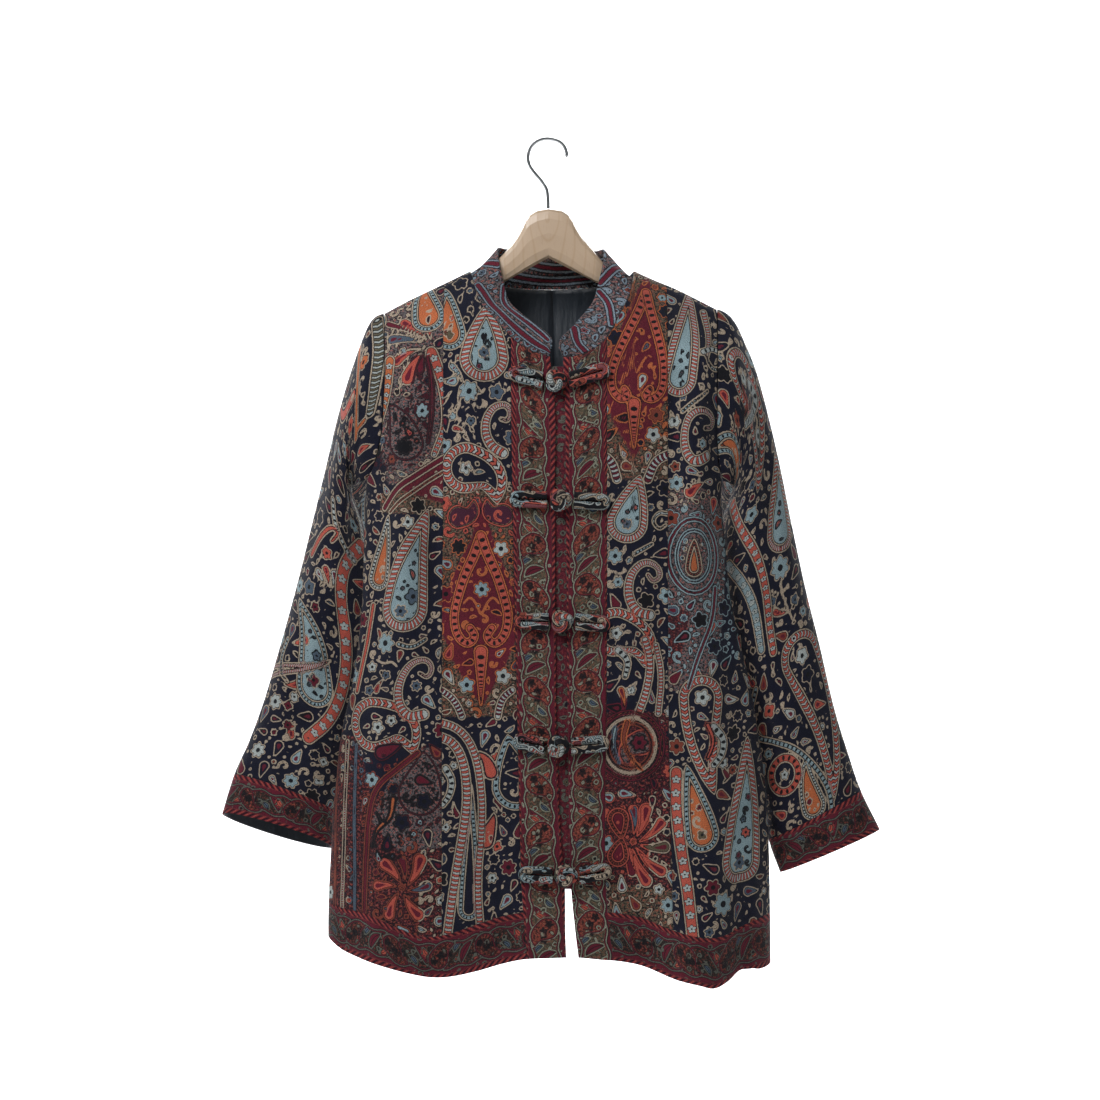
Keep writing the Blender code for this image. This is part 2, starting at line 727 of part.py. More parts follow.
def make_sleeve(side, table, folds, front, back, column):
    """Sleeve and cuff of one side, started from the armhole points of the body."""
    outward = -1.0 if side == "left" else 1.0
    angles = np.arange(2 * ARMHOLE_ROWS) * math.pi / ARMHOLE_ROWS
    ends = ARMHOLE_ROWS + 1
    loop = np.concatenate([front[0][:ends, column], back[0][ARMHOLE_ROWS - 1:0:-1, column]])
    loop[:, 0] += outward * SLEEVE_SHIFT * 1.6
    loop[:, 2] += SLEEVE_SHIFT * np.maximum(-np.cos(angles), 0.0)
    loop[0, 1] = 0.0
    loop[ARMHOLE_ROWS, 1] = look_up(SIDE_Y, UNDERARM_DROP)
    stations = np.array([0, 1, 1.6, 2.3, 3, 4, 5, 6, 7, 8, 9, 10, 11, 12], dtype=float)
    points, normals = sleeve_ring(table, folds, stations, angles, loop, -outward)
    gap = (points[-1] - points[-2])
    gap = gap / np.linalg.norm(gap, axis=-1, keepdims=True) * SEAM_GAP
    near = np.clip(1 - stations / UNDERARM_FADE, 0.0, 1.0)[:, None]
    tight = near * np.maximum(-np.cos(angles), 0.0)[None, :]
    wall = (CLOTH - (CLOTH - UNDERARM_CLOTH) * tight)[..., None]
    inner = points - normals * wall
    add_wall("sleeve_" + side, points[:-1], inner[:-1], "navy", wrap=True)
    cuff = np.stack([points[-2] + gap, (points[-2] + points[-1]) / 2, points[-1]])
    cuff_normals = np.stack([normals[-2], (normals[-2] + normals[-1]) / 2, normals[-1]])
    add_wall("cuff_" + side, cuff, cuff - cuff_normals * CLOTH, "border", wrap=True)


def frame_path(path):
    """Two directions square to a path at each of its points."""
    tangents = np.gradient(path, axis=0)
    tangents /= np.linalg.norm(tangents, axis=1, keepdims=True)
    first = np.cross(tangents[0], np.array([0.0, 1.0, 0.0]))
    first /= np.linalg.norm(first)
    firsts = []
    seconds = []
    for tangent in tangents:
        first = first - tangent * np.dot(first, tangent)
        first /= np.linalg.norm(first)
        firsts.append(first)
        seconds.append(np.cross(tangent, first))
    return np.array(firsts), np.array(seconds)


def add_tube(name, path, radii, sides, material):
    """Closed round cord along a path."""
    path = np.array(path, dtype=float)
    firsts, seconds = frame_path(path)
    points = []
    faces = []
    for number in range(len(path)):
        for side in range(sides):
            turn = 2 * math.pi * side / sides
            across = firsts[number] * math.cos(turn) + seconds[number] * math.sin(turn)
            points.append(path[number] + across * radii[number])
    for number in range(len(path) - 1):
        for side in range(sides):
            after = (side + 1) % sides
            a = number * sides + side
            b = number * sides + after
            faces.append((a, b, b + sides, a + sides))
    faces.append(tuple(range(sides)))
    faces.append(tuple(range(len(points) - 1, len(points) - 1 - sides, -1)))
    return add_solid(name, np.array(points), faces, material)


def lie_on_front(x, drop, height):
    """Point that many millimetres above the front's outer face."""
    x = np.array(x, dtype=float)
    drop = np.array(drop, dtype=float)
    return body_points(x, drop, True) + body_normals(x, drop, True) * height


def make_frog(number, row):
    """Knot and the two hairpin cords of one fastening."""
    knot_x, knot_drop, left_x, left_drop, right_x, right_drop = row
    rise = float(body_y(np.array(knot_x), np.array(knot_drop), True))
    rings = 7
    seat = KNOT_HALF_DEPTH * math.cos(math.pi / rings)
    centre = np.array([knot_x, rise - LAY_GAP - seat, -knot_drop])
    points = []
    faces = []
    sides = 14
    for ring in range(1, rings):
        polar = math.pi * ring / rings
        for side in range(sides):
            turn = 2 * math.pi * side / sides
            bulge = 1.0 + KNOT_BULGE * math.cos(KNOT_LOBES * turn + KNOT_TWIST * polar)
            out = math.sin(polar) * bulge
            points.append(centre + np.array([
                KNOT_HALF_WIDTH * out * math.cos(turn),
                -KNOT_HALF_DEPTH * math.cos(polar),
                KNOT_HALF_HEIGHT * out * math.sin(turn),
            ]))
    for ring in range(rings - 2):
        for side in range(sides):
            after = (side + 1) % sides
            a = ring * sides + side
            b = ring * sides + after
            faces.append((a, b, b + sides, a + sides))
    faces.append(tuple(range(sides)))
    faces.append(tuple(range(len(points) - 1, len(points) - 1 - sides, -1)))
    add_solid("frog_%d_knot" % number, np.array(points), faces, "cord")
    ends = (("left", left_x, left_drop, -1.0), ("right", right_x, right_drop, 1.0))
    for side, end_x, end_drop, outward in ends:
        start_x = knot_x + outward * (KNOT_HALF_WIDTH + CORD_RADIUS * CORD_START_SHARE)
        bend_x = end_x - outward * CORD_SPREAD * CORD_BEND_SHARE
        xs = []
        drops = []
        for share in even(3):
            xs.append(start_x * (1 - share) + bend_x * share)
            drops.append(knot_drop * (1 - share) + end_drop * share - CORD_SPREAD)
        for turn in (45.0, 90.0, 135.0):
            xs.append(bend_x + outward * CORD_SPREAD * math.sin(math.radians(turn)))
            drops.append(end_drop - CORD_SPREAD * math.cos(math.radians(turn)))
        for share in reversed(even(3)):
            xs.append(start_x * (1 - share) + bend_x * share)
            drops.append(knot_drop * (1 - share) + end_drop * share + CORD_SPREAD)
        path = lie_on_front(xs, drops, CORD_RADIUS + LAY_GAP)
        add_tube("frog_%d_%s_cord" % (number, side), path, [CORD_RADIUS] * len(path), 7, "cord")


# Fronts.
left_rows = panel_rows(left_side, front_top, above_border)
right_rows = panel_rows(right_side, front_top, above_border)
left_front = add_panel(
    "front_side_left", soft_start(6), left_rows,
    (left_side, seam_line(0, -1), front_top, above_border), True, "navy",
)
right_front = add_panel(
    "front_side_right", soft_end(6), right_rows,
    (seam_line(5, 1), right_side, front_top, above_border), True, "navy",
)
LEFT_NECK_SHARES = (0.0, 0.2, 0.397, 0.47, 0.57, 0.71, 0.85, 1.0)
RIGHT_NECK_SHARES = (0.0, 0.14, 0.27, 0.37, 0.443, 0.63, 0.81, 1.0)
left_centre = add_panel(
    "front_centre_left", LEFT_NECK_SHARES, left_rows,
    (seam_line(0, 1), seam_line(1, -1), front_top, above_border), True, "maroon",
)
right_centre = add_panel(
    "front_centre_right", RIGHT_NECK_SHARES, right_rows,
    (seam_line(4, 1), seam_line(5, -1), front_top, above_border), True, "maroon",
)
left_band = add_panel(
    "front_band_left", even(3), even(16),
    (seam_line(1, 1), seam_line(2, 0), front_top, front_hem), True, "border",
)
right_band = add_panel(
    "front_band_right", even(3), even(16),
    (seam_line(3, 0), seam_line(4, -1), front_top, front_hem), True, "border",
)

# Hem border, on the same columns as the panels above it.
def border_shares(panels, left, right):
    """Column shares that continue the lowest points of the panels above."""
    x = np.concatenate([panel[0][-1, :, 0] for panel in panels])
    drop = -np.concatenate([panel[0][-1, :, 2] for panel in panels])
    shares = (x - left(drop)) / (right(drop) - left(drop))
    kept = [0.0]
    for share in shares[1:-1]:
        if share - kept[-1] > 0.008:
            kept.append(float(share))
    return kept + [1.0]


left_border_lines = (left_side, seam_line(1, -1), below_border, front_hem)
right_border_lines = (seam_line(4, 1), right_side, below_border, front_hem)
add_panel(
    "hem_border_front_left", border_shares((left_front, left_centre), *left_border_lines[:2]),
    even(1), left_border_lines, True, "border",
)
add_panel(
    "hem_border_front_right", border_shares((right_centre, right_front), *right_border_lines[:2]),
    even(1), right_border_lines, True, "border",
)

# Back, its hem border and its lining.
BACK_LEFT_SHARES = (0.0, 0.02, 0.08, 0.17, 0.28, 0.40, 0.518, 0.56, 0.64, 0.75, 0.87, 1.0)
BACK_RIGHT_SHARES = (0.0, 0.13, 0.25, 0.36, 0.458, 0.4985, 0.61, 0.73, 0.83, 0.92, 0.98, 1.0)
back_left_rows = panel_rows(left_side, back_top, above_back_border)
back_right_rows = panel_rows(right_side, back_top, above_back_border)
back_left_lines = (left_side, vent_line(1, -1), back_top, above_back_border)
back_right_lines = (vent_line(2, 1), right_side, back_top, above_back_border)
back_left = add_panel("back_left", BACK_LEFT_SHARES, back_left_rows, back_left_lines, False, "navy")
back_right = add_panel(
    "back_right", BACK_RIGHT_SHARES, back_right_rows, back_right_lines, False, "navy",
)
add_panel(
    "hem_border_back_left", BACK_LEFT_SHARES, even(1),
    (left_side, vent_line(1, -1), below_back_border, back_hem), False, "border",
)
add_panel(
    "hem_border_back_right", BACK_RIGHT_SHARES, even(1),
    (vent_line(2, 1), right_side, below_back_border, back_hem), False, "border",
)
add_panel(
    "lining_left", BACK_LEFT_SHARES, back_left_rows, back_left_lines, False, "lining",
    depth=CLOTH + SEAM_GAP, thickness=LINING,
)
add_panel(
    "lining_right", BACK_RIGHT_SHARES, back_right_rows, back_right_lines, False, "lining",
    depth=CLOTH + SEAM_GAP, thickness=LINING,
)

# Strip behind the front opening.
UNDERLAP_HALF_WIDTH = 13.0
UNDERLAP_DEPTH = 2.8
UNDERLAP_CLOTH = 1.5


def underlap_left(drop):
    middle = (look_up(SEAM_CURVES[2], drop) + look_up(SEAM_CURVES[3], drop)) / 2
    return middle - UNDERLAP_HALF_WIDTH


def underlap_right(drop):
    middle = (look_up(SEAM_CURVES[2], drop) + look_up(SEAM_CURVES[3], drop)) / 2
    return middle + UNDERLAP_HALF_WIDTH


def underlap_top(x):
    return np.full_like(x, 250.8)


def underlap_bottom(x):
    return np.full_like(x, 816.4)


add_panel(
    "underlap", even(2), even(14), (underlap_left, underlap_right, underlap_top, underlap_bottom),
    True, "border", depth=UNDERLAP_DEPTH, thickness=UNDERLAP_CLOTH,
)

# Sleeves and cuffs.
make_sleeve("left", LEFT_SLEEVE, LEFT_SLEEVE_FOLDS, left_front, back_left, 0)
make_sleeve("right", RIGHT_SLEEVE, RIGHT_SLEEVE_FOLDS, right_front, back_right, -1)

# Collar, started from the neck points of the fronts and the back.
seam, seam_normals = (
    np.concatenate([
        left_band[kind][0, ::-1],
        left_centre[kind][0, 6:1:-1],
        back_left[kind][0, 7:11],
        (back_left[kind][0, 11:] + back_right[kind][0, :1]) / 2,
        back_right[kind][0, 1:5],
        right_centre[kind][0, 4:0:-1],
        right_band[kind][0, ::-1],
    ])
    for kind in (0, 1)
)
steps = np.linalg.norm(np.diff(seam, axis=0), axis=1)
shares = np.concatenate([[0.0], np.cumsum(steps)]) / steps.sum()
top_edge = np.stack([
    look_up(read_column(COLLAR_TOP, 1), shares),
    look_up(read_column(COLLAR_TOP, 3), shares),
    -look_up(read_column(COLLAR_TOP, 2), shares),
], axis=-1)
rise = top_edge - seam
start = seam + rise / np.linalg.norm(rise, axis=1, keepdims=True) * COLLAR_GAP
collar = np.stack([start + (top_edge - start) * share for share in even(3)])
collar_normals = grid_normals(collar)
facing = np.sign(np.sum(collar_normals * (collar - collar.mean(axis=(0, 1))), axis=-1).sum())
collar_normals *= facing
collar_normals[0] = seam_normals
add_wall("collar", collar, collar - collar_normals * CLOTH, "collar")

# Fastenings.
for number, row in enumerate(FROGS, start=1):
    make_frog(number, row)


def make_hanger():
    """Wooden hanger lofted through its upright sections."""
    sides = 12
    points = []
    faces = []
    for x, upper, lower, half in HANGER_SECTIONS:
        middle = (upper + lower) / 2
        height = (lower - upper) / 2
        for side in range(sides):
            turn = 2 * math.pi * side / sides
            y = half * math.copysign(abs(math.sin(turn)) ** HANGER_SQUARENESS, math.sin(turn))
            rise = height * math.copysign(abs(math.cos(turn)) ** HANGER_SQUARENESS, math.cos(turn))
            points.append((x, y, -(middle - rise)))
    for section in range(len(HANGER_SECTIONS) - 1):
        for side in range(sides):
            after = (side + 1) % sides
            a = section * sides + side
            b = section * sides + after
            faces.append((a, b, b + sides, a + sides))
    faces.append(tuple(range(sides)))
    faces.append(tuple(range(len(points) - 1, len(points) - 1 - sides, -1)))
    add_solid("hanger_body", np.array(points), faces, "wood")


def make_hook():
    """Bent hook wire with a smooth run between its named points."""
    keyed = [(number,) + tuple(row) for number, row in enumerate(HOOK_PATH)]
    places = np.linspace(0, len(HOOK_PATH) - 1, HOOK_STEPS)
    x = look_up(read_column(keyed, 1), places)
    drop = look_up(read_column(keyed, 2), places)
    path = np.stack([x, np.zeros_like(x), -drop], axis=-1)
    radii = np.full(len(path), HOOK_RADIUS)
    radii[0] = HOOK_RADIUS * HOOK_TIP_SHARE
    add_tube("hanger_hook", path, radii, 10, "steel")


make_hanger()
make_hook()
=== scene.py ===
"""Looks of a mandarin collar jacket on a wooden hanger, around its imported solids.

Tables are in millimetres and follow the part's frame: the origin is the inner
top of the hook's crown, +X is the viewer's right, +Y points away from the
viewer and "drop" is the distance below the origin.
"""

import math

import bpy
import numpy as np
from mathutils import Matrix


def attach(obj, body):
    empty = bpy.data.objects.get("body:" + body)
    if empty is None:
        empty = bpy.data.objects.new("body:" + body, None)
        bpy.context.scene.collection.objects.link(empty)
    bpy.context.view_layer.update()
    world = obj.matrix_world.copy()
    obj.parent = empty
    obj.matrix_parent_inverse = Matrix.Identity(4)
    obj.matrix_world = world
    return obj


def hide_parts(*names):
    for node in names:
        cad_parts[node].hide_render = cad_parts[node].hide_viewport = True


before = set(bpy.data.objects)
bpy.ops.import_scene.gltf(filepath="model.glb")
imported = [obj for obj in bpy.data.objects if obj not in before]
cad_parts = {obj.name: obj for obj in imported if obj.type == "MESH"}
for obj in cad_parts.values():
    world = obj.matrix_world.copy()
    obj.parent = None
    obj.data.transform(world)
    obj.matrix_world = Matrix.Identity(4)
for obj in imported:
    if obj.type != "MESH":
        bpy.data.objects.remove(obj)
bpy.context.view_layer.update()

MM = 0.001
CLOTH = 2.0
LINING = 1.0
SEAM_GAP = 0.4
LAY_GAP = 0.5
COLLAR_GAP = 0.6
CURVE_STEPS = 600
SLOPE_STEP = 0.005
EDGE_RADIUS = 8.0
FOLD_FADE = 1.5
SIDE_OPENING_POWER = 1.25
FRONT_SIDE_REACH = 55.0
BACK_SIDE_REACH = 125.0
TOP_REACH = 78.0
UNDERARM_DROP = 376.0

# Whole body, one row for each level.
# drop, left edge x, right edge x, side seam y, front depth, back depth
BODY_SECTIONS = (
    (98.3, -214.5, 221.1, 0.0, 42.0, 42.0),
    (197.3, -214.5, 221.1, 0.0, 44.0, 43.0),
    (285.6, -211.9, 213.0, -6.0, 47.0, 52.0),
    (340.7, -204.9, 200.5, -14.0, 41.0, 60.0),
    (376.0, -197.8, 191.3, -22.0, 34.0, 68.0),
    (439.4, -199.8, 194.4, -26.0, 32.0, 74.0),
    (504.9, -201.8, 200.8, -28.0, 32.0, 77.0),
    (592.2, -211.7, 220.4, -28.0, 34.0, 80.0),
    (646.8, -223.7, 230.3, -27.0, 36.0, 82.0),
    (712.3, -231.4, 238.6, -26.0, 39.0, 85.0),
    (777.9, -235.9, 242.5, -25.0, 41.0, 88.0),
    (832.8, -238.7, 243.7, -23.0, 44.0, 90.0),
    (942.2, -238.3, 244.9, -22.0, 46.0, 92.0),
)

# Top of the shoulders from left to right.
# x, drop
SHOULDER_RIDGE = (
    (-221.1, 212.7),
    (-180.4, 191.2),
    (-150.7, 175.3),
    (-127.6, 164.3),
    (-104.5, 153.3),
    (-84.7, 143.4),
    (-57.2, 130.2),
    (-29.7, 118.1),
    (4.4, 110.4),
    (41.8, 118.1),
    (68.2, 130.2),
    (95.7, 143.4),
    (117.7, 153.3),
    (144.1, 164.3),
    (166.1, 175.3),
    (187.6, 186.3),
    (228.8, 209.4),
)

# Armhole seams. drop, left x, right x
ARMHOLES = (
    (175.3, -179.5, 186.6),
    (232.2, -176.6, 185.4),
    (286.9, -177.0, 184.7),
    (330.5, -180.8, 184.7),
    (357.6, -188.1, 187.1),
    (376.0, -197.8, 191.3),
)

NECK_LEFT_X = -84.7
NECK_RIGHT_X = 95.7

# Neck seam of the fronts. x, drop
FRONT_NECK = (
    (-84.7, 143.4),
    (-80.9, 156.1),
    (-77.4, 168.9),
    (-72.9, 179.4),
    (-60.2, 195.0),
    (-41.2, 217.0),
    (-22.7, 231.3),
    (-3.2, 238.9),
    (14.1, 241.1),
    (34.7, 238.9),
    (47.8, 233.4),
    (59.7, 225.8),
    (69.5, 213.8),
    (80.4, 191.8),
    (87.1, 179.4),
    (91.7, 167.7),
    (95.7, 143.4),
)

# Neck seam of the back. x, drop
BACK_NECK = (
    (-84.7, 143.4),
    (-78.4, 148.4),
    (-68.7, 152.9),
    (-52.2, 157.1),
    (-24.5, 159.9),
    (4.4, 160.9),
    (33.3, 159.9),
    (62.2, 157.1),
    (79.7, 152.9),
    (89.4, 148.4),
    (95.7, 143.4),
)

# Long seams of the fronts.
# drop, left princess seam, left band outer, left band inner,
# right band inner, right band outer, right princess seam
FRONT_SEAMS = (
    (125.0, -112.8, -40.1, 1.1, 16.3, 65.1, 131.3),
    (241.1, -112.7, -39.0, 3.3, 17.4, 65.1, 131.2),
    (271.5, -112.7, -39.0, 7.1, 19.0, 65.1, 131.2),
    (396.2, -112.7, -37.3, 8.7, 20.6, 65.0, 131.2),
    (526.0, -113.7, -34.5, 9.2, 21.7, 64.9, 131.1),
    (666.3, -113.5, -31.3, 10.9, 22.7, 63.8, 132.0),
    (763.3, -113.3, -29.1, 15.2, 24.3, 62.7, 133.9),
    (816.1, -113.2, -27.4, 19.5, 26.0, 63.7, 134.9),
    (854.8, -113.1, -24.7, 19.8, 29.7, 66.9, 135.8),
    (908.5, -113.1, -19.3, 21.6, 36.2, 74.4, 136.7),
)

# Free edge of the fronts. x, drop
FRONT_HEM = (
    (-245.9, 865.7),
    (-238.1, 873.1),
    (-224.0, 883.1),
    (-208.9, 889.3),
    (-190.0, 895.2),
    (-156.2, 903.9),
    (-115.0, 910.6),
    (-73.2, 904.1),
    (-50.7, 897.7),
    (-29.1, 892.7),
    (3.3, 890.8),
    (35.6, 890.3),
    (57.2, 892.4),
    (76.6, 894.0),
    (100.3, 898.7),
    (140.9, 913.6),
    (164.3, 918.4),
    (179.4, 921.6),
    (196.1, 914.6),
    (207.8, 905.7),
    (220.0, 903.8),
    (231.0, 905.2),
    (244.7, 900.4),
    (252.5, 893.0),
)

# Upper seam of the hem border on the fronts. x, drop
FRONT_BORDER = (
    (-245.9, 830.7),
    (-237.0, 834.8),
    (-190.1, 844.7),
    (-158.4, 857.8),
    (-132.3, 866.3),
    (-115.1, 865.7),
    (-73.3, 853.7),
    (-50.7, 846.5),
    (-25.8, 841.5),
    (3.3, 840.9),
    (35.7, 840.9),
    (66.9, 841.3),
    (100.3, 847.1),
    (132.4, 859.1),
    (161.2, 866.0),
    (187.2, 866.5),
    (214.5, 856.4),
    (242.5, 845.8),
    (252.5, 841.6),
)

# Free edge of the back and the height of its border. x, drop
BACK_HEM = (
    (-245.9, 865.7),
    (-238.1, 873.1),
    (-195.3, 893.0),
    (-119.8, 903.4),
    (-52.7, 898.6),
    (4.4, 898.8),
    (59.4, 901.1),
    (126.5, 909.5),
    (186.3, 913.3),
    (244.7, 900.4),
    (252.5, 893.0),
)
BORDER_HEIGHT = 46.0

# Centre back seam, parted below into a vent.
# drop, edge of the left half, edge of the right half
CENTRE_BACK = (
    (105.4, 4.4, 4.4),
    (394.6, 10.0, 10.0),
    (617.8, 17.8, 17.8),
    (786.0, 23.4, 23.4),
    (799.4, 22.3, 25.1),
    (819.7, 17.9, 30.7),
    (909.8, 13.4, 43.6),
)

# Soft folds. x and drop at the top, x and drop at the bottom, half width, height
FRONT_FOLDS = (
    (-114.9, 211.8, -114.7, 656.0, 17.0, -8.0),
    (131.2, 200.9, 132.1, 634.4, 17.0, -8.0),
    (-156.1, 287.7, -161.3, 601.9, 20.0, 6.0),
    (162.7, 190.1, 164.6, 504.4, 18.0, 6.0),
    (176.5, 526.1, 169.8, 828.7, 20.0, 6.0),
    (-72.5, 461.1, -50.7, 990.1, 22.0, -5.0),
    (-159.1, 601.9, -132.7, 1119.6, 40.0, 14.0),
    (165.5, 655.7, 167.2, 1107.9, 30.0, 18.0),
    (211.5, 721.4, 213.7, 1068.3, 15.0, -10.0),
    (100.6, 612.5, 100.5, 1044.1, 22.0, -5.0),
    (-203.3, 613.4, -212.0, 1070.1, 16.0, -5.0),
    (-83.4, 179.2, -137.7, 320.2, 14.0, -3.0),
    (94.4, 179.2, 148.6, 309.3, 14.0, -3.0),
)
BACK_FOLDS = (
    (-130.2, 238.9, -136.4, 796.7, 22.0, -8.0),
    (139.0, 227.8, 154.1, 796.7, 22.0, -8.0),
    (-52.5, 461.5, -75.0, 1121.6, 30.0, 12.0),
    (81.4, 506.1, 109.6, 1121.6, 30.0, 13.0),
    (-168.7, 528.0, -180.3, 1084.5, 24.0, 8.0),
    (186.4, 550.1, 194.7, 1084.5, 24.0, 8.0),
    (4.4, 205.2, 10.0, 528.4, 40.0, -5.0),
    (-7.9, 617.7, -19.1, 1121.6, 16.0, -7.0),
    (55.7, 640.0, 62.6, 1121.6, 16.0, -7.0),
)

# Sleeves, one row for each ring from the armhole to the cuff.
# outer x, outer drop, inner x, inner drop, centre y, half depth,
# lift of the front edge, tuck of the back half behind the body
LEFT_SLEEVE = (
    (-180.4, 190.7, -197.8, 376.0, 2.0, 40.0, 0.0, 0.0),
    (-195.9, 201.6, -209.0, 376.6, 0.0, 42.0, 0.0, 12.0),
    (-205.5, 225.5, -213.8, 379.8, 1.0, 42.0, 0.0, 20.0),
    (-218.0, 260.5, -215.2, 385.2, 5.0, 42.0, 0.0, 26.0),
    (-231.5, 306.6, -211.1, 399.5, 10.0, 42.0, 0.0, 24.0),
    (-245.1, 361.8, -201.4, 428.2, 16.0, 41.0, 0.0, 14.0),
    (-259.4, 419.3, -194.7, 470.2, 20.0, 40.0, 1.0, 6.0),
    (-277.7, 492.3, -199.2, 537.7, 22.0, 39.0, 2.0, 5.0),
    (-295.2, 556.4, -207.9, 607.3, 20.0, 37.0, 3.0, 4.0),
    (-312.6, 616.0, -217.6, 664.6, 17.0, 34.0, 4.0, 3.0),
    (-328.7, 661.0, -226.2, 706.2, 13.0, 31.0, 6.0, 2.0),
    (-344.9, 698.2, -234.2, 737.9, 8.0, 27.0, 8.0, 0.0),
    (-357.9, 741.0, -235.7, 777.4, 5.0, 25.0, 9.0, 0.0),
)
RIGHT_SLEEVE = (
    (187.6, 186.3, 191.3, 376.0, 2.0, 40.0, 0.0, 0.0),
    (206.9, 200.5, 201.3, 377.7, 0.0, 42.0, 0.0, 12.0),
    (218.2, 223.3, 204.9, 382.0, 4.0, 43.0, 0.0, 18.0),
    (230.1, 251.6, 204.2, 387.4, 9.0, 43.0, 0.0, 22.0),
    (243.6, 298.9, 200.0, 398.4, 14.0, 42.0, 0.0, 20.0),
    (257.2, 355.2, 193.0, 423.7, 19.0, 41.0, 0.0, 12.0),
    (269.9, 417.1, 191.4, 468.0, 22.0, 40.0, 0.0, 6.0),
    (286.0, 492.3, 201.3, 541.0, 22.0, 39.0, 0.0, 5.0),
    (301.8, 556.4, 216.7, 610.6, 20.0, 37.0, 0.0, 4.0),
    (316.9, 622.6, 228.6, 671.2, 17.0, 34.0, 0.0, 3.0),
    (332.0, 673.1, 238.3, 723.9, 13.0, 31.0, 0.0, 2.0),
    (346.0, 714.8, 244.1, 768.7, 8.0, 27.0, 0.0, 0.0),
    (366.7, 757.6, 256.6, 804.9, 5.0, 25.0, 0.0, 0.0),
)

# Sleeve folds. ring, angle in degrees, angle gained for each ring,
# half length in rings, half width in degrees, height
LEFT_SLEEVE_FOLDS = (
    (5.5, 70.0, -6.0, 2.2, 22.0, 5.0),
    (5.0, 118.0, 4.0, 2.4, 20.0, -4.0),
    (8.6, 95.0, -10.0, 1.6, 24.0, -4.0),
    (6.0, 250.0, 6.0, 2.6, 24.0, -5.0),
    (8.5, 290.0, 8.0, 2.2, 22.0, 4.0),
)
RIGHT_SLEEVE_FOLDS = (
    (4.2, 60.0, 6.0, 1.8, 20.0, -5.0),
    (5.6, 92.0, 4.0, 2.0, 22.0, 5.0),
    (7.6, 70.0, -14.0, 2.2, 20.0, -5.0),
    (6.0, 255.0, -6.0, 2.6, 24.0, -5.0),
    (8.5, 285.0, 8.0, 2.2, 22.0, 4.0),
)
ARMHOLE_BLEND = 2.2
SLEEVE_SHIFT = 0.6
UNDERARM_CLOTH = 1.0
UNDERARM_FADE = 6.0

# Upper edge of the collar from its left front end round the back to its right front end.
# share of the neck seam, x, drop, y
COLLAR_TOP = (
    (0.00, 3.8, 229.1, -50.0),
    (0.012, 4.9, 222.5, -49.0),
    (0.035, 2.2, 216.9, -46.5),
    (0.075, -10.8, 205.6, -40.0),
    (0.130, -29.4, 190.7, -31.0),
    (0.185, -41.5, 177.0, -22.0),
    (0.230, -47.0, 159.2, -18.0),
    (0.270, -52.6, 134.6, -12.0),
    (0.300, -55.0, 119.6, 2.0),
    (0.350, -45.4, 116.9, 24.0),
    (0.420, -23.4, 118.2, 35.0),
    (0.500, 4.4, 119.0, 38.0),
    (0.580, 32.2, 119.3, 35.0),
    (0.650, 54.2, 119.1, 24.0),
    (0.700, 63.8, 121.2, 2.0),
    (0.730, 61.4, 135.7, -12.0),
    (0.770, 55.8, 159.2, -18.0),
    (0.815, 50.3, 178.1, -22.0),
    (0.870, 36.0, 197.3, -31.0),
    (0.925, 22.9, 212.2, -40.0),
    (0.965, 15.8, 219.1, -46.5),
    (0.988, 13.6, 224.7, -49.0),
    (1.00, 14.1, 231.3, -50.0),
)

# Frog fastenings. knot x, knot drop, left end x, left end drop, right end x, right end drop
FROGS = (
    (9.8, 267.1, -34.5, 260.1, 60.6, 256.9),
    (14.6, 396.5, -32.3, 395.3, 60.5, 398.5),
    (16.2, 527.7, -28.0, 526.8, 60.4, 530.1),
    (11.9, 661.9, -27.9, 657.2, 59.3, 659.3),
    (20.5, 801.4, -22.5, 800.0, 61.4, 796.8),
)
CORD_RADIUS = 4.3
CORD_SPREAD = 4.9
KNOT_HALF_WIDTH = 13.0
KNOT_HALF_HEIGHT = 13.0
KNOT_HALF_DEPTH = 9.0
KNOT_LOBES = 3
KNOT_BULGE = 0.09
KNOT_TWIST = 2.4
CORD_START_SHARE = 0.35
CORD_BEND_SHARE = 0.2
def read_column(rows, column):
    """Dense soft curve through one column of a table, keyed by its first column."""
    keys = np.array([row[0] for row in rows], dtype=float)
    values = np.array([row[column] for row in rows], dtype=float)
    slopes = np.gradient(values, keys)
    places = np.linspace(keys[0], keys[-1], CURVE_STEPS)
    index = np.clip(np.searchsorted(keys, places, side="right") - 1, 0, len(keys) - 2)
    span = keys[index + 1] - keys[index]
    part = (places - keys[index]) / span
    first = (1 + 2 * part) * (1 - part) ** 2 * values[index]
    last = part ** 2 * (3 - 2 * part) * values[index + 1]
    leave = part * (1 - part) ** 2 * span * slopes[index]
    arrive = part ** 2 * (part - 1) * span * slopes[index + 1]
    return places, first + last + leave + arrive


def look_up(curve, at):
    return np.interp(at, curve[0], curve[1])


